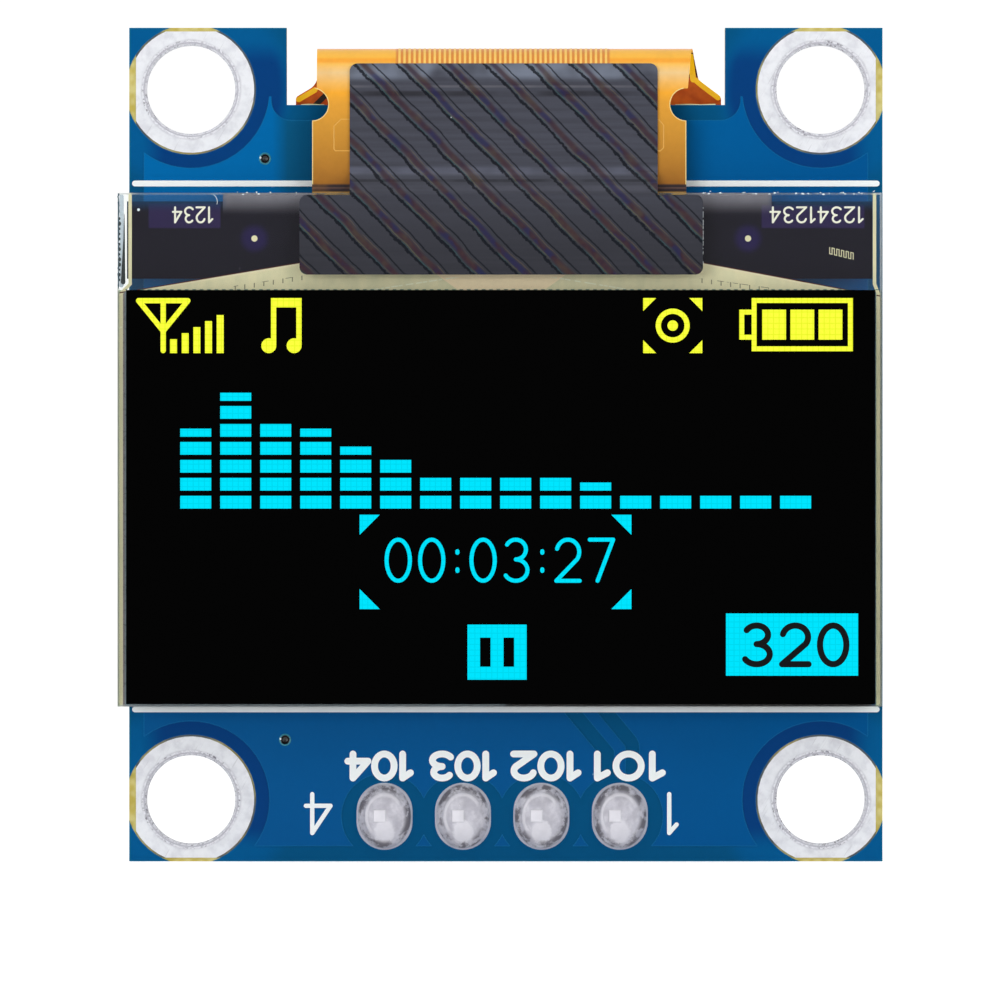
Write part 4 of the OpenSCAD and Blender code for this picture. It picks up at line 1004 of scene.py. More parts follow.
@dataclass(frozen=True)
class TapeFinish(Finish):
    """Dark grey tape with slanting streaks of interference colour.

    Attributes:
        lean: Angle of the streaks below the horizontal, in degrees.
        pitch: Distance between streaks, square to them.
        start: Distance of the first streak from the frame's origin.
        half: Half the width of a streak's core.
        line: Colour of the two ragged lines that go with a streak.
        rim: Colour of the thin bright edge on its lower side.
        dark: Grey at the foot, between the fine level grain.
        light: Grey at the top, between the fine level grain.
        speck: Colour of the specks.
    """

    lean: float = 45.5
    pitch: float = 1.0 * MM
    start: float = 0.326 * MM
    half: float = 0.07 * MM
    line: str = "070C16"
    rim: str = "2E5054"
    dark: str = "303138"
    light: str = "494B56"
    speck: str = "C8CACF"

    def off(self, sheet: Sheet) -> Value:
        """Gives the signed distance to the nearest streak's middle line.

        The distance across the streaks is X times the sine plus Z times the cosine of the lean,
        bent by noise. It is wrapped to plus or minus half a pitch.

        Returns:
            The distance, in metres.
        """
        x, _, z = sheet.axes()
        angle = math.radians(self.lean)
        bend = sheet.noise(1.1 * MM, detail=1.0).spread(-0.08 * MM - self.start, 0.08 * MM - self.start)
        return (x * math.sin(angle) + z * math.cos(angle) + bend).off(self.pitch) * self.pitch

    def band(self, value: Value, at: float, half: float, soft: float) -> Value:
        """Masks where a value lies within half of a place, with soft sides."""
        return abs(value - at).smooth(half + soft, half)

    def sheen(self, sheet: Sheet) -> Value:
        """Lays level bands of painted sheen and shade where the tape bends, and fine level grain, on the
        grey.
        """
        x, y, z = sheet.axes()
        flat = sheet.noise(0.16 * MM, sheet.point(x * 0.03, y, z), detail=3.0)
        colour = sheet.layers(
            self.dark, (z.smooth(5.8 * MM, 9.5 * MM), self.light, 1.0),
            (flat.smooth(0.3, 0.7), self.colour, 0.5))
        top, glass = TAPE.top, GLASS.top
        # Light and dark bands: painted sheen and shade across the tape's bends.
        bands = (
            (top - 0.22 * MM, 0.3 * MM, "7C8494"), (top - 0.75 * MM, 0.04 * MM, "62626A"),
            (top - 0.98 * MM, 0.09 * MM, "2A2A30"), (glass + 0.72 * MM, 0.14 * MM, "5E6170"),
            (glass + 0.4 * MM, 0.05 * MM, "2B2C33"), (glass + 0.15 * MM, 0.1 * MM, "4C4D58"))
        for at, half, shine in bands:
            cloud = sheet.noise(1.6 * MM, seed=at / MM).smooth(0.3, 0.62)
            colour = sheet.layers(colour, (self.band(z, at, half * 0.4, half) * cloud, shine, 0.85))
        return colour

    def paint(self, sheet: Sheet) -> Value:
        """Lays the streaks, their edges and their ragged lines over the grey."""
        off = self.off(sheet)
        rough = sheet.noise(0.14 * MM, detail=4.0, roughness=0.75, seed=5.0)
        ragged, calm = [off + rough.spread(-sway * MM, sway * MM) for sway in (0.11, 0.03)]
        low = self.band(ragged, -0.205 * MM, 0.03 * MM, 0.03 * MM)
        high = self.band(calm, 0.225 * MM, 0.012 * MM, 0.024 * MM)
        core = sheet.ramp(sheet.noise(0.6 * MM, seed=9.0), (
            (0.3, "48382E"), (0.42, "40262A"), (0.52, "341C2C"), (0.6, "24204A"), (0.72, "1A2048")))
        core_mask = abs(off).smooth(self.half + 0.07 * MM, self.half - 0.04 * MM)
        colour = sheet.layers(
            self.sheen(sheet), (low * 0.9 | high * 0.8, self.line, 1.0), (core_mask, core, 0.75))
        edges = ((-0.145, self.rim, 0.75, 12.0), (-0.11, "6E6A44", 0.4, 14.0), (0.13, "6C5C44", 0.4, 16.0))
        for at, code, share, seed in edges:
            edge = self.band(calm, at * MM, 0.004 * MM, 0.022 * MM)
            lit = sheet.noise(0.8 * MM, seed=seed).smooth(0.38, 0.62) * share
            colour = sheet.layers(colour, (edge * lit, code, 1.0))
        return self.shade(sheet, sheet.layers(colour, (sheet.dust(0.9 * MM, 0.025, 0.25), self.speck, 0.7)))


@dataclass(frozen=True)
class GlowFinish(Finish):
    """Material that also sends out light, as a lit dot of the display does; on the flex circuit's ears the
    glow is painted light.

    Attributes:
        glow: Colour of the light that it gives off.
    """

    glow: str = "000000"

    def extra(self, sheet: Sheet, shader: bpy.types.Node) -> None:
        """Lights it."""
        sheet.fill(shader, {"Emission Color": tone(self.glow), "Emission Strength": 1.0})


@dataclass(frozen=True)
class LitFinish(GlowFinish):
    """A lit area of the display, made of small square dots.

    Attributes:
        dot: Pitch of the dots.
    """

    dot: float = 0.182 * MM

    def paint(self, sheet: Sheet) -> Value:
        """Leaves thin darker gaps between the dots."""
        x, _, z = sheet.axes()
        upright, level = [abs(value.off(self.dot)).smooth(0.36, 0.5) for value in (x, z)]
        return sheet.layers(self.colour, (upright | level, "000000", 0.6))


@dataclass(frozen=True)
class SealFinish(Finish):
    """Resin round the display, seen through the glass as narrow upright bands of colour.

    Attributes:
        chip: Colour of the dark flaws.
    """

    chip: str = "20302C"

    def paint(self, sheet: Sheet) -> Value:
        """Runs through the bands on each side of the display, and lays the flaws."""
        x, _, z = sheet.axes()
        from_left = (
            (0.0, "2C443A"), (0.02, "3A5546"), (0.04, "9DB492"), (0.1, "AFC4A0"), (0.115, "E8E8D8"),
            (0.165, "E4E2D2"), (0.18, "8A7A7A"), (0.215, "86787A"), (0.23, "7F8C94"), (0.3, "7F8C94"))
        from_right = (
            (0.0, "6E8A93"), (0.035, "5F7C86"), (0.045, "1C2A2E"), (0.075, "1C2A2E"), (0.09, "B9CBA6"),
            (0.18, "B9CBA6"), (0.195, "1A4468"), (0.32, "1A4E78"), (0.335, "6A7478"), (0.36, "0A0A0C"))
        west, east = [
            sheet.ramp(inwards, [(at * MM, code) for at, code in bands])
            for inwards, bands in ((x - GLASS.left, from_left), (GLASS.right - x, from_right))]
        chips = sheet.noise(0.1 * MM, detail=3.0, roughness=0.7, seed=1.0).smooth(0.52, 0.6)
        return self.shade(sheet, sheet.layers(west, (x > 0.0, east, 1.0), (chips, self.chip, 0.35)))


@dataclass(frozen=True)
class LipFinish(Finish):
    """Rolled plating at the mounting holes: grey, with fine dark streaks round it.

    Attributes:
        grey: Darker grey.
        streak: Colour of the streaks.
    """

    grey: str = "B2B1BB"
    streak: str = "6E6C76"

    def paint(self, sheet: Sheet) -> Value:
        """Mixes pale and dark greys by noise that is drawn out along the edge's depth."""
        x, y, z = sheet.axes()
        drawn = sheet.noise(0.1 * MM, sheet.point(x, y * 0.3, z), detail=4.0, roughness=0.7)
        cloud = sheet.noise(1.6 * MM, seed=3.0).smooth(0.48, 0.6)
        return self.shade(sheet, sheet.layers(
            self.colour, (drawn.smooth(0.4, 0.75), self.grey, 1.0),
            (drawn.smooth(0.5, 0.6) * cloud, self.streak, 0.8)))


@dataclass(frozen=True)
class ViaFinish(Finish):
    """A via's plug: a pit painted black as the shade down the hole, in a thin teal lip.

    Attributes:
        places: X and Z of the vias.
        pit: Radius of the pit.
        lip: Colour of the lip.
    """

    places: tuple[tuple[float, float], ...] = ()
    pit: float = 0.14 * MM
    lip: str = "1C7C90"

    def paint(self, sheet: Sheet) -> Value:
        """Colours by the distance to the nearest via's axis."""
        x, _, z = sheet.axes()
        near: Feed = 1.0
        for at_x, at_z in self.places:
            near = sheet.math("MINIMUM", near, sheet.length(x - at_x, z - at_z))
        return self.shade(sheet, sheet.layers(
            self.colour, (near.smooth(self.pit, self.pit + 0.02 * MM), self.lip, 1.0)))


@dataclass(frozen=True)
class ChipFinish(Finish):
    """A chip part with tinned ends.

    Attributes:
        centre: Place of its middle along its length.
        half: Half the length of its bare body.
        axis: The axis that it lies along.
        side: Colour of the body's sides.
        tin: Colour of the ends.
        top: Y above which the body has its main colour.
    """

    centre: float = 0.0
    half: float = 0.45 * MM
    axis: Axis = Axis.Z
    side: str = "B08F66"
    tin: str = "C9CACE"
    top: float = 0.0

    def paint(self, sheet: Sheet) -> Value:
        """Gives the body its colours and the ends their tin."""
        return self.shade(sheet, sheet.layers(
            self.side, (sheet.axes()[1] > self.top, self.colour, 1.0), (self.ends(sheet), self.tin, 1.0)))

    def ends(self, sheet: Sheet) -> Value:
        """Masks the tinned ends."""
        return abs(sheet.axes()[self.axis.value] - self.centre) > self.half

    def gloss(self, sheet: Sheet) -> Value:
        """Polishes the ends more than the body."""
        return self.ends(sheet).spread(self.roughness, 0.3)


def solid_finishes() -> dict[str, Finish]:
    """Lists the finish of every material slot of the frame."""
    return {
        "laminate": LaminateFinish("board_laminate", "C2B056", 0.75, specular=0.1),
        "solder_mask": MaskFinish("blue_mask", "0068AA", 0.3, specular=0.04, tint=0.03),
        "white_print": Finish("white_ink", "FAFFFF", 0.7, specular=0.1, tint=0.02),
        "tinned_metal": LandFinish("tinned_copper", "EEF0F5", 0.5, metallic=0.1, specular=0.2, tint=0.04),
        "solder": Finish("solder_alloy", "C9CBD0", 0.3, metallic=1.0, depth=0.006 * MM),
        "header_plastic": Finish("header_black", "1B1B1D", 0.5, depth=0.004 * MM),
        "gold_pin": ScratchedMetal("pin_gold", "E9BE62", 0.25, metallic=1.0),
        "foam": Finish("foam_black", "24242A", 0.95, depth=0.03 * MM),
        "glass": GlassFinish("clear_glass", "FBFEFD", 0.01, tint=0.0, depth=0.0),
        "seal": SealFinish("seal_resin", "A9B49A", 0.5),
        "emitter": Finish("dark_stack", "08080C", 0.3),
        "polariser": Finish("polariser_film", "000000", 0.03, specular=0.06, tint=0.0, depth=0.0001 * MM),
        "ledge_film": LedgeFilmFinish("ledge_black", "1D1B26", 0.3, specular=0.04, tint=0.0, depth=0.0),
        "electrode": FanFinish("fan_conductor", "ECE2B8", 0.4, specular=0.1, tint=0.03),
        "silicon": Finish("chip_silicon", "3A3C44", 0.15, specular=0.8),
        "flex_film": FlexFinish("amber_film", "DE9A36", 0.35, tint=0.04, coat=0.05, specular=0.3),
        "shield_tape": TapeFinish("dark_tape", "383941", 0.4, specular=0.12, tint=0.03),
        "yellow_light": LitFinish("lit_yellow", "96A040", 1.0, specular=0.0, glow="D8DE00"),
        "cyan_light": LitFinish("lit_cyan", "007888", 1.0, specular=0.0, glow="00CCE2"),
        "package_epoxy": Finish("moulded_epoxy", "202024", 0.6, depth=0.006 * MM),
        "ceramic": Finish("brown_ceramic", "B08F66", 0.5),
        "resistor_glaze": Finish("black_glaze", "1C1C20", 0.4),
    }


# ---- studio --------------------------------------------------------------------------


@dataclass
class Studio:
    """The floor, backdrop, lamps, world and camera.

    Attributes:
        distance: Camera to the board's front face.
        view_width: Width that the camera sees at the board's front face.
        aim_x: X of the view's centre.
        aim_z: Z of the view's centre.
        floor_size: Half the width of the floor.
        apron: How far the floor reaches towards the camera.
        sky: Brightness of the world away from the camera's side.
        power: Power in watts that the lamps' shares are taken of.
        fill: Brightness of the world on the camera's side.
        cone: Angles from -Y between which the world fades from sky to fill, in degrees.
        lamp_distance: Distance of the lamps from the frame's origin.
        bend_r: Radius of the bend between floor and backdrop.
        floor_tone: Linear brightness of the floor and backdrop.
        glow: What the floor and backdrop add to their lit colour where they are seen.
    """

    distance: float = 600 * MM
    view_width: float = 32.39 * MM
    aim_x: float = -0.19 * MM
    aim_z: float = -1.52 * MM
    floor_size: float = 900 * MM
    apron: float = 260 * MM
    sky: float = 0.7
    power: float = 1.0
    fill: float = 0.3
    cone: tuple[float, float] = (55.0, 35.0)
    lamp_distance: float = 600 * MM
    bend_r: float = 200 * MM
    floor_tone: float = 0.92
    glow: float = 0.5

    def camera(self) -> None:
        """Places the camera square to the display."""
        data = bpy.data.cameras.new("camera")
        data.sensor_width = 36.0
        data.lens = data.sensor_width * self.distance / self.view_width
        data.clip_start = 10 * MM
        data.clip_end = 10000 * MM
        holder = bpy.data.objects.new("camera", data)
        holder.location = (self.aim_x, -self.distance, self.aim_z)
        holder.rotation_euler = (math.pi / 2, 0, 0)
        bpy.context.scene.collection.objects.link(holder)
        bpy.context.scene.camera = holder

    def stage(self) -> None:
        """Makes the floor under the module and the backdrop far behind it."""
        size, radius = self.floor_size, self.bend_r
        profile = [(-self.apron, 0.0), (size, 0.0)]
        bend = np.linspace(0, math.pi / 2, 12)
        profile += [(size + radius * math.sin(a), radius * (1 - math.cos(a))) for a in bend[1:]]
        path = np.array(profile + [(size + radius, size)])
        x = np.array([[-size], [size]])
        grid = np.stack(np.broadcast_arrays(x, path[:, 0], path[:, 1] + CAD_BOX[0][2]), axis=-1)
        sweep = surface("studio_sweep", [Shell(grid, closed_v=False)])
        material = bpy.data.materials.new("studio_white")
        material.use_nodes = True
        sheet = Sheet(material.node_tree)
        ray = sheet.node("ShaderNodeLightPath").outputs
        seen = sheet.math("ADD", ray["Is Camera Ray"], ray["Is Glossy Ray"])
        seen = sheet.math("ADD", seen, ray["Is Transmission Ray"], clamp=True)
        sheet.fill(material.node_tree.nodes["Principled BSDF"], {
            "Base Color": (*[self.floor_tone] * 3, 1), "Roughness": 1.0, "Specular IOR Level": 0.0,
            "Emission Color": (1, 1, 1, 1), "Emission Strength": seen * self.glow})
        sweep.data.materials.append(material)

    def lamp(self, name: str, place: Sequence[float], size: float, power: float) -> None:
        """Adds a soft square lamp that points at the module.

        Args:
            name: Name of the lamp.
            place: Where it stands, in metres.
            size: Its side.
            power: Its power in watts.
        """
        data = bpy.data.lights.new(name, "AREA")
        data.size = size
        data.energy = power
        holder = bpy.data.objects.new(name, data)
        holder.location = place
        away = np.asarray(place) / np.linalg.norm(place)
        pitch = math.acos(away[2])
        turn = math.atan2(away[1], away[0]) + math.pi / 2
        holder.rotation_euler = (pitch, 0, turn)
        bpy.context.scene.collection.objects.link(holder)

    def light(self) -> None:
        """Sets the world and the lamps."""
        world = bpy.data.worlds.new("studio")
        world.use_nodes = True
        sheet = Sheet(world.node_tree)
        way = sheet.split(sheet.run("ShaderNodeTexCoord", output="Generated"))
        outer, inner = [-math.cos(math.radians(angle)) for angle in self.cone]
        level = way[1].smooth(outer, inner).spread(self.sky, self.fill)
        seen = sheet.run("ShaderNodeLightPath", output="Is Camera Ray")
        sheet.fill(world.node_tree.nodes["Background"], {"Color": (1, 1, 1, 1), "Strength": level | seen})
        bpy.context.scene.world = world
        lamps = (
            ("left_lamp", -34, 4, 0.3, 1.25), ("right_lamp", 38, 6, 0.3, 0.85),
            ("top_lamp", 0, 64, 0.4, 0.45))
        for name, turn, lift, size, share in lamps:
            a, b = math.radians(turn), math.radians(lift)
            place = self.lamp_distance * np.array([
                math.sin(a) * math.cos(b), -math.cos(a) * math.cos(b), math.sin(b)])
            self.lamp(name, place, size, share * self.power)
        bpy.context.scene.view_settings.view_transform = "Standard"


# ---- mesh helpers --------------------------------------------------------------------


class Section(Enum):
    """Cross-section of a raised line, in shares of half its width and of its height."""

    FLAT = ((-1.0, 0.0), (-1.0, 1.0), (1.0, 1.0), (1.0, 0.0))
    ROUND = ((-1.0, 0.0), (-0.85, 0.7), (-0.4, 1.0), (0.4, 1.0), (0.85, 0.7), (1.0, 0.0))


@dataclass(frozen=True)
class Shell:
    """A closed surface on a grid of points.

    Attributes:
        grid: Points as an array of shape (U, V, 3).
        closed_u: Whether the last row joins the first.
        closed_v: Whether the last column joins the first.
    """

    grid: Grid
    closed_u: bool = False
    closed_v: bool = True

    def cells(self) -> Grid:
        """Gives the four corners of each cell of the grid, as indices."""
        rows, columns = self.grid.shape[:2]
        index = np.arange(rows * columns).reshape(rows, columns)
        u = np.arange(rows if self.closed_u else rows - 1)
        v = np.arange(columns if self.closed_v else columns - 1)
        a = index[u[:, None], v[None, :]]
        b = index[(u[:, None] + 1) % rows, v[None, :]]
        c = index[(u[:, None] + 1) % rows, (v[None, :] + 1) % columns]
        d = index[u[:, None], (v[None, :] + 1) % columns]
        return np.stack([a, b, c, d], axis=-1).reshape(-1, 4)

    def welded(self, first: int) -> tuple[Grid, list[list[int]]]:
        """Joins points that coincide, so that ends and poles close.

        Args:
            first: Index of the shell's first point in the whole mesh.

        Returns:
            The points, and each face's corners without repeats.
        """
        points = self.grid.reshape(-1, 3)
        rounded = np.round(points / WELD)
        _, kept, back = np.unique(rounded, axis=0, return_index=True, return_inverse=True)
        corners = back.reshape(-1)[self.cells()] + first
        faces = [list(dict.fromkeys(face)) for face in corners.tolist()]
        return points[kept], [face for face in faces if len(face) > 2]


def surface(name: str, shells: Sequence[Shell]) -> bpy.types.Object:
    """Makes a mesh object from shells.

    Args:
        name: Name of the piece.
        shells: Its surfaces.

    Returns:
        The object, linked to the scene.
    """
    points: list[Grid] = []
    faces: list[list[int]] = []
    count = 0
    for shell in shells:
        more, corners = shell.welded(count)
        points.append(more)
        faces += corners
        count += len(more)
    mesh = bpy.data.meshes.new(name)
    mesh.from_pydata(np.concatenate(points), [], faces)
    made = bpy.data.objects.new(name, mesh)
    bpy.context.scene.collection.objects.link(made)
    return made


def piece(name: str, shells: Sequence[Shell], finish: Finish) -> None:
    """Makes a piece of the module from closed shells, dressed and riding on the body.

    Args:
        name: Name of the piece.
        shells: Its closed shells.
        finish: Its finish.
    """
    made = surface(name, shells)
    work = bmesh.new()
    work.from_mesh(made.data)
    bmesh.ops.recalc_face_normals(work, faces=work.faces)
    work.to_mesh(made.data)
    work.free()
    made.data.materials.append(finish.material())
    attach(made, BODY)
    LOG.info("built %s, %d faces", name, len(made.data.polygons))


@dataclass(frozen=True)
class Line:
    """A raised line that follows a path and has round ends.

    Attributes:
        path: Points of the path, of shape (N, 3).
        width: Its width, one for all or one for each point.
        height: Its height above the path.
        out: The way it stands up, one direction or one for each point.
        section: Its cross-section.
        shift: How far its middle lies from the path, to the side of the path crossed with out.
    """

    path: Grid
    width: Union[float, Sequence[float]]
    height: float
    out: Union[Sequence[float], Grid] = (0.0, -1.0, 0.0)
    section: Section = Section.FLAT
    shift: float = 0.0

    def shell(self) -> Shell:
        """Sweeps the cross-section along the path.

        At each point the width lies along the mean of the two neighbouring steps crossed with
        out, lengthened by one over the cosine of half the turn. Past each end the line goes on
        for half its width, while its width falls as a half circle. A path whose ends meet makes
        a ring instead.
        """
        path = np.asarray(self.path, dtype=float)
        ring = bool(np.allclose(path[0], path[-1], atol=1e-9))
        path = path[:-1] if ring else path
        out = np.broadcast_to(np.asarray(self.out, dtype=float), path.shape)
        step = np.roll(path, -1, axis=0) - path if ring else np.diff(path, axis=0)
        step = step / np.linalg.norm(step, axis=1, keepdims=True)
        after = step if ring else np.vstack([step, step[-1:]])
        before = np.roll(step, 1, axis=0) if ring else np.vstack([step[:1], step])
        ahead = np.cross(after, out)
        side = np.cross(before, out) + ahead
        side = side / np.linalg.norm(side, axis=1, keepdims=True)
        side = side / np.maximum(np.sum(side * ahead, axis=1, keepdims=True), MITRE_LIMIT)
        centre = path + side * self.shift
        half = np.broadcast_to(np.asarray(self.width, dtype=float) / 2, len(path))
        if not ring:
            turn = np.radians(CAP_ANGLES)
            along = np.append(1.0, np.sin(turn))[:, None]
            narrow = np.append(0.0, np.cos(turn))
            first = centre[:1] - before[:1] * along * half[0]
            last = centre[-1:] + after[-1:] * along[::-1] * half[-1]
            centre = np.vstack([first, centre, last])
            half = np.concatenate([narrow * half[0], half, narrow[::-1] * half[-1]])
            side = np.vstack([np.repeat(side[:1], 4, axis=0), side, np.repeat(side[-1:], 4, axis=0)])
            out = np.vstack([np.repeat(out[:1], 4, axis=0), out, np.repeat(out[-1:], 4, axis=0)])
        across, up = np.array(self.section.value).T
        grid = (centre[:, None] + side[:, None] * (half[:, None] * across[None])[:, :, None]
                + out[:, None] * (up * self.height)[None, :, None])
        return Shell(grid, closed_u=ring)


def turned(profile: Sequence[tuple[float, float]], x: float, z: float, steps: int,
           ring: bool = False) -> Shell:
    """Turns a profile round an axis along Y.

    A point at angle a lies at X + radius times cos(a), and Z + radius times sin(a).

    Args:
        profile: Radius and Y of its points.
        x: X of the axis.
        z: Z of the axis.
        steps: Number of steps round.
        ring: Whether the profile is a closed loop off the axis.

    Returns:
        The shell.
    """
    radius, depth = np.array(profile).T
    turn = np.linspace(0, 2 * math.pi, steps, endpoint=False)[:, None]
    grid = np.stack([x + radius * np.cos(turn), depth + 0 * turn, z + radius * np.sin(turn)], axis=-1)
    return Shell(grid, closed_u=True, closed_v=ring)


def pebble(centre: Sequence[float], radii: Sequence[float]) -> Shell:
    """Makes a small ellipsoid: the centre plus the radii times a point of the unit sphere."""
    lift = np.linspace(-math.pi / 2, math.pi / 2, 5)[None, :]
    turn = np.linspace(0, 2 * math.pi, 7, endpoint=False)[:, None]
    ball = np.stack([
        np.cos(lift) * np.cos(turn), np.cos(lift) * np.sin(turn), np.sin(lift) + 0 * turn], axis=-1)
    return Shell(np.asarray(centre) + ball * np.asarray(radii), closed_u=True, closed_v=False)


def bow(x: float, z: float, half_x: float, half_z: float, start: float, end: float) -> Grid:
    """Gives points on an arc of an ellipse, (x + half_x cos a, z + half_z sin a), angles in degrees."""
    turn = np.radians(np.linspace(start, end, int(abs(end - start) / 12) + 2))
    return np.stack([x + half_x * np.cos(turn), z + half_z * np.sin(turn)], axis=-1)


def raised(flat: Grid, y: float) -> Grid:
    """Sets points of X and Z at one Y."""
    flat = np.asarray(flat, dtype=float)
    return np.stack([flat[:, 0], np.full(len(flat), y), flat[:, 1]], axis=-1)


def strip(flat: Grid, y: float, width: Union[float, Grid], height: float, **settings: Any) -> Shell:
    """Raises a line that follows points of X and Z at one Y."""
    return Line(raised(flat, y), width, height, **settings).shell()


def numeral(sign: str) -> tuple[float, list[Grid]]:
    """Gives a numeral's width and strokes in a box one high.

    Args:
        sign: A digit or a colon.

    Returns:
        The width, and the points of each stroke.
    """
    strokes: dict[str, list[Any]] = {
        "0": [bow(0.3, 0.5, 0.3, 0.5, 90, 450)],
        "1": [((0.0, 0.78), (0.24, 1.0)), ((0.24, 1.0), (0.24, 0.0))],
        "2": [np.vstack([bow(0.3, 0.7, 0.29, 0.3, 165, -35), (0.0, 0.0)]), ((0.0, 0.0), (0.6, 0.0))],
        "3": [bow(0.28, 0.76, 0.26, 0.24, 150, -90), bow(0.28, 0.26, 0.3, 0.26, 90, -150)],
        "4": [((0.46, 0.0), (0.46, 1.0)), ((0.46, 1.0), (0.0, 0.3)), ((0.0, 0.3), (0.62, 0.3))],
        "7": [((0.0, 1.0), (0.6, 1.0)), ((0.6, 1.0), (0.2, 0.0))],
        ":": [((0.1, 0.24), (0.1, 0.28)), ((0.1, 0.68), (0.1, 0.72))],
    }
    widths = {"1": 0.3, ":": 0.2}
    return widths.get(sign, 0.6), [np.asarray(points, dtype=float) for points in strokes[sign]]


@dataclass(frozen=True)
class Word:
    """Plain numbers along one line.

    Attributes:
        text: Digits and colons.
        left: Lowest X.
        right: Highest X.
        low: Lowest Z.
        high: Highest Z.
        stroke: Width of the strokes.
        turned: Whether it stands on its head.
        gap: Space between numerals, as a share of their height.
    """

    text: str
    left: float
    right: float
    low: float
    high: float
    stroke: float
    turned: bool = False
    gap: float = 0.26

    def shells(self, y: float, height: float, section: Section = Section.FLAT) -> list[Shell]:
        """Fits the numerals into the box and raises their strokes towards -Y.

        Strokes that cross differ a little in height, so that no two faces lie in one plane.

        Args:
            y: Y of the surface that they stand on.
            height: How far they stand out.
            section: Cross-section of the strokes.

        Returns:
            A shell for each stroke.
        """
        at = 0.0
        placed: list[Grid] = []
        for sign in self.text:
            width, strokes = numeral(sign)
            placed += [points + (at, 0.0) for points in strokes]
            at += width + self.gap
        room = np.array([self.right - self.left, self.high - self.low]) - self.stroke
        scale = room / (at - self.gap, 1.0)
        corner = np.array([self.left, self.low]) + self.stroke / 2
        shells = []
        for turn, points in enumerate(placed):
            flat = corner + points * scale
            if self.turned:
                flat = np.array([self.left + self.right, self.low + self.high]) - flat
            tall = height * (1 + 0.03 * (turn % 4))
            shells.append(strip(flat, y, self.stroke, tall, section=section))
        return shells


# ---- sub-assemblies ------------------------------------------------------------------


@dataclass
class BoardDetail:
    """What sits on the board: printed numbers, plugged vias with black pits of painted shade and painted
    highlights, and the holes' rolled plating.

    Attributes:
        ink: Height of the print above bare mask.
        number_low: Lowest Z of the pin numbers.
        number_high: Highest Z of the pin numbers.
        number_stroke: Width of their strokes.
        via_r: Radius of the via holes.
        via_lip: Radius of a via's lip.
        lip_inner: Inner radius of the rolled plating.
        lip_outer: Outer radius of the rolled plating.
    """

    ink: float = 0.05 * MM
    number_low: float = -10.91 * MM
    number_high: float = -9.91 * MM
    number_stroke: float = 0.22 * MM
    via_r: float = 0.145 * MM
    via_lip: float = 0.2 * MM
    lip_inner: float = 1.43 * MM
    lip_outer: float = 1.6 * MM

    def numbers(self) -> list[Shell]:
        """Gives a number over each pin and one at each end of the row, all on their heads."""
        y = MASK.front + 0.03 * MM
        shells: list[Shell] = []
        for turn, (left, right) in enumerate(((2.77, 5.18), (0.14, 2.45), (-2.51, -0.29), (-5.21, -2.98))):
            word = Word(f"10{turn + 1}", left * MM, right * MM, self.number_low, self.number_high,
                        self.number_stroke, turned=True, gap=0.2)
            shells += word.shells(y, self.ink)
        for text, left, right in (("4", -6.52, -5.61), ("1", 5.16, 5.6)):
            word = Word(text, left * MM, right * MM, -12.65 * MM, -11.25 * MM, 0.14 * MM, turned=True)
            shells += word.shells(y, self.ink)
        return shells

    def via_places(self) -> tuple[tuple[float, float], ...]:
        """Gives X and Z of the two vias."""
        return ((-7.8 * MM, 9.26 * MM), (-7.15 * MM, -9.56 * MM))

    def vias(self) -> list[Shell]:
        """Turns a plug for each via, with a pit and a lip at both of its ends."""
        front, back = MASK.front, extent("back_solder_mask").back
        pit = [(r * MM, y * MM) for r, y in ((0.0, 0.12), (0.09, 0.1), (0.13, -0.005), (0.155, -0.015))]
        half = pit + [(self.via_lip - 0.01 * MM, -0.01 * MM), (self.via_lip, 0.0),
                      (self.via_lip, 0.02 * MM), (self.via_r, 0.03 * MM)]
        profile = [(r, front + y) for r, y in half] + [(r, back - y) for r, y in half[::-1]]
        return [turned(profile, x, z, 28) for x, z in self.via_places()]

    def lips(self, hole_x: float, hole_z: float) -> Shell:
        """Turns the rolled plating of one hole: a barrel whose two ends curl out over the land."""
        land = extent("mounting_land_1")
        face, back = land.front, land.back
        depth = self.lip_outer - self.lip_inner
        bend = np.radians(np.linspace(90, 0, 7))
        curl = [
            (self.lip_outer - depth * math.cos(a), depth * (1 - math.sin(a)) - 0.012 * MM) for a in bend]
        profile = [(r, face + y) for r, y in curl] + [(r, back - y) for r, y in curl[::-1]]
        inside = self.lip_inner + 0.08 * MM
        profile += [(inside, back - 0.01 * MM), (inside, face + 0.01 * MM)]
        return turned(profile, hole_x, hole_z, 96, ring=True)

    def build(self, finishes: dict[str, Finish]) -> None:
        """Builds the board's pieces."""
        piece("board_numbers", self.numbers(), finishes["white_print"])
        # The plugs' pits are painted black, as the shade down the via holes.
        fill = ViaFinish("via_pit_shade", "05070B", 0.3, places=self.via_places())
        piece("via_plugs", self.vias(), fill)
        # A painted highlight left of each via's pit.
        glints = [pebble((x - 0.15 * MM, -0.075 * MM, z + 0.03 * MM), (0.035 * MM, 0.012 * MM, 0.035 * MM))
                  for x, z in self.via_places()]
        piece("via_glints", glints, Finish("tin_glint", "F0FAFF", 0.3))
        lip = LipFinish("rolled_plating", "EBECF2", 0.45, metallic=0.1, specular=0.2, depth=0.004 * MM,
                        grain=0.08 * MM)
        for turn, (side, level) in enumerate(((-1, 1), (1, 1), (-1, -1), (1, -1))):
            shell = self.lips(side * HOLE_X, level * HOLE_Z)
            piece(f"rolled_plating_{turn + 1}", [shell], lip)


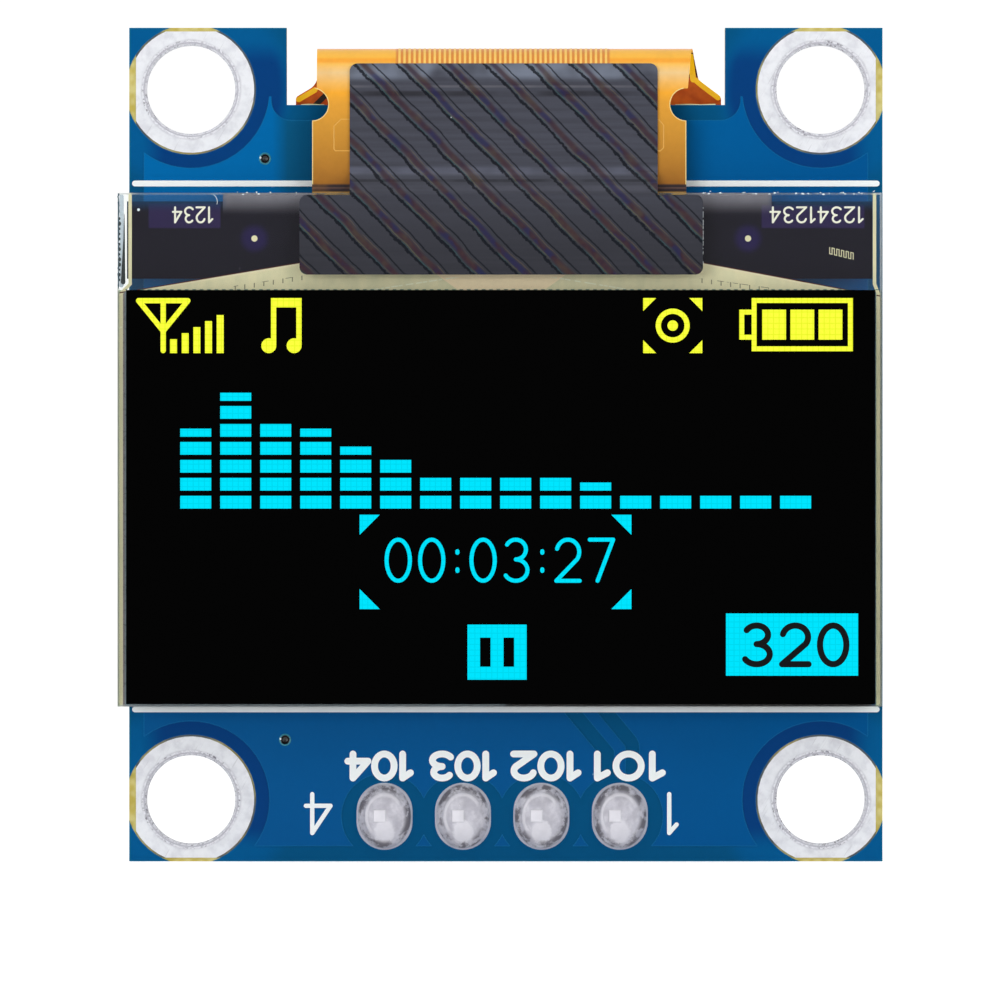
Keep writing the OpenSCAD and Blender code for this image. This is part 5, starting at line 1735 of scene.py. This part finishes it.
@dataclass
class FlexDetail:
    """What shows on the flex circuit: tracks, painted highlights along its cut edges, the ears' rims with a
    painted glow, and seams.

    Attributes:
        track_count: Number of tracks.
        track_pitch: Their pitch at the fold.
        track_w: Their width.
        track_x: X of the middle of the field of tracks.
        start: Angle round the fold at which they begin, in degrees up from the front.
        finger_count: Number of fingers at the tail's end.
        finger_pitch: Pitch of the fingers.
        finger_x: X of the middle of the row of fingers.
        relief: Radius of the relief notches.
        rim: Width of the painted highlight along a cut edge.
        ear_rim: Width of the band along an ear, which glows as painted light.
        notch_depth: Depth of the board's notch.
        left: X of the film's left edge under the left relief notch.
        right: X of its right edge under the right one.
        film: Thickness of the film.
    """

    track_count: int = 42
    track_pitch: float = 0.163 * MM
    track_w: float = 0.078 * MM
    track_x: float = -0.1 * MM
    start: float = 27.0
    finger_count: int = 30
    finger_pitch: float = 0.43 * MM
    finger_x: float = 0.085 * MM
    relief: float = 0.52 * MM
    rim: float = 0.03 * MM
    ear_rim: float = 0.17 * MM
    notch_depth: float = 2.5 * MM
    left: float = -6.265 * MM
    right: float = 5.835 * MM
    film: float = 0.12 * MM

    def __post_init__(self) -> None:
        """Works out the fold's radius and axis, and the floor of the board's notch."""
        self.radius = (FLEX.back - FLEX.front) / 2
        self.fold_y = (FLEX.back + FLEX.front) / 2
        self.fold_z = FLEX.top - self.radius
        self.floor = BOARD.top - self.notch_depth
        self.inner = FLEX.back - self.film

    def track(self, turn: int) -> Shell:
        """Runs one track round the fold, down the tail and over to its finger.

        Round the fold a point at angle a lies at the fold's axis plus its radius times
        (-cos a, sin a) in Y and Z. Down the tail X moves over by a smooth step.
        """
        x = self.track_x + (turn - (self.track_count - 1) / 2) * self.track_pitch
        finger = round(turn * (self.finger_count - 1) / (self.track_count - 1))
        goal = self.finger_x + (finger - (self.finger_count - 1) / 2) * self.finger_pitch
        bend = np.radians(np.linspace(self.start, 180.0, 22))
        lean = np.stack([0 * bend, -np.cos(bend), np.sin(bend)], axis=-1)
        arc = lean * self.radius + (x, self.fold_y, self.fold_z)
        level = np.append(self.fold_z - 0.4 * MM, np.array([10.6, 9.9, 9.0, 8.2, 7.6, 7.45]) * MM)
        share = np.clip((10.6 * MM - level) / (2.4 * MM), 0, 1)
        share = share * share * (3 - 2 * share)
        run = np.stack([x + (goal - x) * share, np.full(7, FLEX.back), level], axis=-1)
        flat = np.tile([0.0, 1.0, 0.0], (7, 1))
        return Line(np.vstack([arc, run]), self.track_w, 0.012 * MM, out=np.vstack([lean, flat])).shell()

    def edge_highlights(self) -> list[Shell]:
        """Lines the relief notches and the edges under them with a painted highlight."""
        shells = []
        for x, start, end, way in ((self.left, 80.0, -90.0, -1), (self.right, 100.0, 270.0, 1)):
            arc = bow(x, self.floor, self.relief, self.relief, start, end)
            down = np.array([[x, self.floor - self.relief - 0.1 * MM], [x, GLASS.top + 0.3 * MM]])
            path = np.vstack([arc, down])
            shells.append(strip(path, FLEX.front, self.rim, 0.012 * MM, shift=way * self.rim / 2))
        return shells

    def ear_rims(self) -> list[Shell]:
        """Lays a yellow band along the outer edge of each ear, on its inner face; its glow is painted light.
        """
        half = self.ear_rim / 2
        west = [(FLEX.left + x * MM, self.floor + z * MM) for x, z in ((0.09, 0.2), (0.62, 0.51))]
        east = [(x * MM - half * share, FLEX.top - drop * MM) for x, share, drop in (
            (6.055, 1.0, 0.14), (6.12, 1.0, 0.55), (6.18, 1.0, 0.9), (6.27, 0.9, 1.04), (6.4, 0.7, 1.16))]
        east.append((FLEX.right - 0.1 * MM, self.floor + 0.26 * MM))
        ends = [strip(points, self.inner, self.ear_rim, 0.02 * MM) for points in (west, east)]
        bend = np.radians(np.linspace(8, 68, 7))
        bore = self.radius - self.film
        arc = np.stack([6.1 * MM - 0.13 * MM * np.sin(bend), self.fold_y + bore * np.cos(bend),
                        self.fold_z + bore * np.sin(bend)], axis=-1)
        lean = np.stack([0 * bend, -np.cos(bend), -np.sin(bend)], axis=-1)
        return ends + [Line(arc, self.ear_rim + 0.02 * MM, 0.02 * MM, out=lean).shell()]

    def dark_slant(self) -> list[Shell]:
        """Lays a dark slanting band across the left ear."""
        path = [(-5.86 * MM, self.floor + 0.33 * MM), (-6.2 * MM, self.floor)]
        return [strip(path, self.inner, 0.17 * MM, 0.015 * MM)]

    def floor_glints(self) -> list[Shell]:
        """Lights the laminate's edge along the notch floor beside the flex circuit."""
        shells = []
        for start, end in ((-6.62, -5.9), (5.5, 6.78)):
            x = np.linspace(start, end, 9) * MM
            wave = 0.008 * MM * np.sin(x / (0.13 * MM))
            path = np.stack([x, self.floor + 0.012 * MM + wave], axis=-1)
            shells.append(strip(path, 0.01 * MM, 0.035 * MM, 0.03 * MM))
        return shells

    def seams(self) -> list[Shell]:
        """Outlines the cover film's openings beside the tape."""
        west = ((-5.0, 10.52), (-5.33, 10.52), (-5.56, 10.3), (-5.56, 9.56), (-5.52, 9.5), (-5.0, 9.5))
        east = ((4.85, 10.5), (4.95, 10.5), (5.1, 10.33), (5.1, 9.6), (5.0, 9.5), (4.85, 9.5))
        return [strip(np.array(points) * MM, FLEX.front, 0.035 * MM, 0.008 * MM, section=Section.ROUND)
                for points in (west, east)]

    def build(self, finishes: dict[str, Finish]) -> None:
        """Builds the flex circuit's pieces."""
        tracks = [self.track(turn) for turn in range(self.track_count)]
        covered = Finish("covered_track", "FBCB62", 0.35, specular=0.4, tint=0.06)
        # Painted highlight for the cut edges.
        bright = Finish("film_edge_highlight", "F2D88C", 0.4, specular=0.3)
        # The ears' bands get a painted glow.
        painted_glow_band = GlowFinish("ear_band_painted_glow", "FFD020", 0.4, glow="A07600")
        for name, shells, finish, slot in (
                ("flex_tracks", tracks, covered, "flex_film"),
                ("flex_edge_highlights", self.edge_highlights(), bright, "flex_film"),
                ("ear_rims", self.ear_rims(), painted_glow_band, "flex_film"),
                ("ear_dark_slant", self.dark_slant(), Finish("dark_slant_band", "1E1516", 0.6), "flex_film"),
                ("notch_glints", self.floor_glints(), Finish("laminate_glint", "D9DFA8", 0.6), "laminate"),
                ("film_seams", self.seams(), Finish("film_seam", "E0A848", 0.4), "flex_film")):
            piece(name, shells, finish)


@dataclass
class GlassDetail:
    """What shows at the glass: chipped edges, painted glints and painted shade along its edges, marks on the
    ledge and a bubble.

    Attributes:
        flakes: Number of flakes along the top edge, painted white as glints.
        seed: Seed of their places.
    """

    flakes: int = 90
    seed: int = 11

    def __post_init__(self) -> None:
        """Reads the front of the film behind the ledge from the frame."""
        self.cell = extent("ledge_film").front

    def top_flakes(self) -> list[Shell]:
        """Scatters flakes along the top edge beside the tape, more of them to the right; they are painted
        white as glints.
        """
        draw = np.random.default_rng(self.seed)
        shells = []
        for share in draw.uniform(0, 1, self.flakes):
            x = GLASS.left + (GLASS.right - GLASS.left) * math.sqrt(share)
            if TAPE.left < x < TAPE.right:
                continue
            size = draw.uniform(0.01, 0.028) * MM
            z = GLASS.top + draw.normal(-0.01, 0.03) * MM
            shells.append(pebble((x, GLASS.front, z), (size * draw.uniform(1, 2.2), 0.01 * MM, size)))
        return shells

    def edge_chips(self) -> list[Shell]:
        """Sets dark chips down the left edge, where the ledge's side is ground."""
        draw = np.random.default_rng(self.seed + 1)
        shells = []
        for turn in range(13):
            z = (7.3 - 0.165 * turn) * MM
            size = draw.uniform(0.03, 0.06) * MM
            shells.append(pebble((GLASS.left + 0.06 * MM, GLASS.front, z), (size, 0.008 * MM, size * 1.3)))
        return shells

    def edge_line(self) -> list[Shell]:
        """Draws a dark line of painted shade down the ledge's left side, with a slight waver."""
        draw = np.random.default_rng(self.seed + 2)
        z = np.linspace(8.09, 5.05, 34) * MM
        x = GLASS.left + 0.03 * MM + draw.normal(0, 0.006, 34) * MM
        width = draw.uniform(0.025, 0.06, 34) * MM
        return [strip(np.stack([x, z], axis=-1), GLASS.front, width, 0.006 * MM)]

    def shade_wedge(self) -> list[Shell]:
        """Lays painted shade on the ground edge beside the left electrode, wider towards its foot."""
        path = np.array([[-12.335, 7.45], [-12.34, 6.6], [-12.36, 5.9], [-12.375, 5.25]]) * MM
        width = np.array([0.015, 0.05, 0.1, 0.15]) * MM
        return [strip(path, self.cell, width, 0.004 * MM)]

    def frost(self) -> list[Shell]:
        """Greys the strip of glass left of the electrode."""
        path = np.array([[-12.43, 8.02], [-12.43, 5.15]]) * MM
        return [strip(path, self.cell + 0.03 * MM, 0.15 * MM, 0.004 * MM)]

    def serpentine(self) -> list[Shell]:
        """Draws a square wave on the film, which falls to the right."""
        points: list[tuple[float, float]] = []
        for turn in range(11):
            x = 10.47 + 0.076 * turn
            drop = 0.018 * turn
            ends = (6.37 - drop, 6.17 - drop)
            points += [(x, ends[turn % 2]), (x, ends[1 - turn % 2])]
        return [strip(np.array(points) * MM, self.cell, 0.03 * MM, 0.003 * MM)]

    def counts(self) -> list[Shell]:
        """Gives a plain count at each end of the ledge, on its head."""
        shells: list[Shell] = []
        for text, left, right in (("1234", -10.79, -9.46), ("12341234", 8.53, 11.57)):
            word = Word(text, left * MM, right * MM, 7.15 * MM, 7.7 * MM, 0.065 * MM, turned=True)
            shells += word.shells(self.cell, 0.004 * MM)
        return shells

    def tape_glints(self) -> list[Shell]:
        """Scatters small glints down the tape's right edge."""
        draw = np.random.default_rng(self.seed + 3)
        return [
            pebble((TAPE.right, GLASS.front - 0.05 * MM, z * MM),
                   (0.014 * MM, 0.01 * MM, draw.uniform(0.015, 0.07) * MM))
            for z in draw.uniform(5.75, 7.7, 22)]

    def bubble(self) -> list[Shell]:
        """Makes a small bubble near the left electrode, and the curl of a fibre by the print."""
        curl = bow(-9.55 * MM, 7.85 * MM, 0.22 * MM, 0.25 * MM, 80, -20)
        return [pebble((-11.88 * MM, self.cell, 7.59 * MM), (0.05 * MM, 0.005 * MM, 0.05 * MM)),
                strip(curl, self.cell, 0.014 * MM, 0.003 * MM)]

    def build(self, finishes: dict[str, Finish]) -> None:
        """Builds the glass's pieces."""
        # White for the flakes and the tape's glints, painted as glints; the bubble and the fibre's curl take
        # it too.
        white = Finish("glass_flake", "EAF4F8", 0.3)
        for name, shells, finish, slot in (
                ("glass_flakes", self.top_flakes(), white, "glass"),
                ("glass_edge_chips", self.edge_chips(), Finish("ground_chip", "26302E", 0.5), "glass"),
                ("glass_edge_line", self.edge_line(), Finish("edge_shadow", "2F4A58", 0.5), "glass"),
                ("glass_edge_shade_wedge", self.shade_wedge(), Finish("edge_painted_shade", "1E2628", 0.6), "seal"),
                ("glass_edge_frost", self.frost(), Finish("edge_frost", "C9D3DD", 0.8), "seal"),
                ("serpentine_mark", self.serpentine(), Finish("mark_metal", "CFC9A4", 0.4), "electrode"),
                ("film_bubble", self.bubble(), white, "ledge_film"),
                ("ledge_counts", self.counts(), Finish("count_metal", "F0EEDC", 0.5), "electrode"),
                ("tape_glints", self.tape_glints(), white, "shield_tape")):
            piece(name, shells, finish)


@dataclass
class PictureDetail:
    """Plain numbers in the picture: a running time and the number in the box.

    Attributes:
        lit: Thickness of the lit layer.
        stroke: Width of the running time's strokes.
        box_stroke: Width of the dark number's strokes.
    """

    lit: float = 0.02 * MM
    stroke: float = 0.13 * MM
    box_stroke: float = 0.2 * MM

    def build(self, finishes: dict[str, Finish]) -> None:
        """Builds the picture's numbers."""
        time = Word("00:03:27", -3.92 * MM, 3.53 * MM, -4.47 * MM, -3.01 * MM, self.stroke)
        piece("running_time", time.shells(PICTURE.front, self.lit), finishes["cyan_light"])
        number = Word("320", 7.6 * MM, 11.1 * MM, -7.2 * MM, -5.75 * MM, self.box_stroke)
        dark = Finish("unlit_number", "04080A", 0.5, specular=0.1)
        piece("box_number", number.shells(PICTURE.front - self.lit, 0.008 * MM), dark)


def chip_finish(node: str) -> ChipFinish:
    """Makes the finish of one chip part from the box of its node.

    Args:
        node: Name of the node.

    Returns:
        The finish, with its ends where the chip has them.
    """
    box = extent(node)
    wide, tall = box.right - box.left, box.top - box.foot
    axis = Axis.Z if tall > wide else Axis.X
    centre = box.centre[axis.value]
    bare = max(wide, tall) / 2 - 0.35 * MM
    if node.startswith("capacitor"):
        return ChipFinish(f"ceramic_of_{node}", "B4936A", 0.5, centre=centre, half=bare, axis=axis)
    return ChipFinish(f"glaze_of_{node}", "17171A", 0.35, centre=centre, half=bare, axis=axis,
                      side="D8D6CE", top=box.back - 0.06 * MM)


def dress_frame(finishes: dict[str, Finish]) -> None:
    """Gives each node of the frame the material of its slot, or its own.

    Args:
        finishes: The finish of each slot.
    """
    dome = DomeFinish("joint_solder", "C9C7D1", 0.45, metallic=0.1, specular=0.35, depth=0.03 * MM,
                      tint=0.03)
    for row in frame["record"]["subparts"]:
        name = row["node"]
        node = frame["nodes"][name]
        finish = finishes[row["material_slot"]]
        if name.startswith("solder_joint"):
            finish = dome
        elif name.startswith(("capacitor", "resistor")):
            finish = chip_finish(name)
        material = finish.material()
        for holder in node.material_slots:
            holder.material = material
        if not node.material_slots:
            node.data.materials.append(material)
        LOG.info("dressed %s with %s", name, material.name)


def main() -> None:
    """Builds the studio and the looks in order."""
    logging.basicConfig(level=logging.INFO, format="%(message)s")
    studio = Studio()
    studio.camera()
    studio.stage()
    studio.light()
    finishes = solid_finishes()
    dress_frame(finishes)
    for part in (BoardDetail(), FlexDetail(), GlassDetail(), PictureDetail()):
        part.build(finishes)


if __name__ == "__main__":
    main()
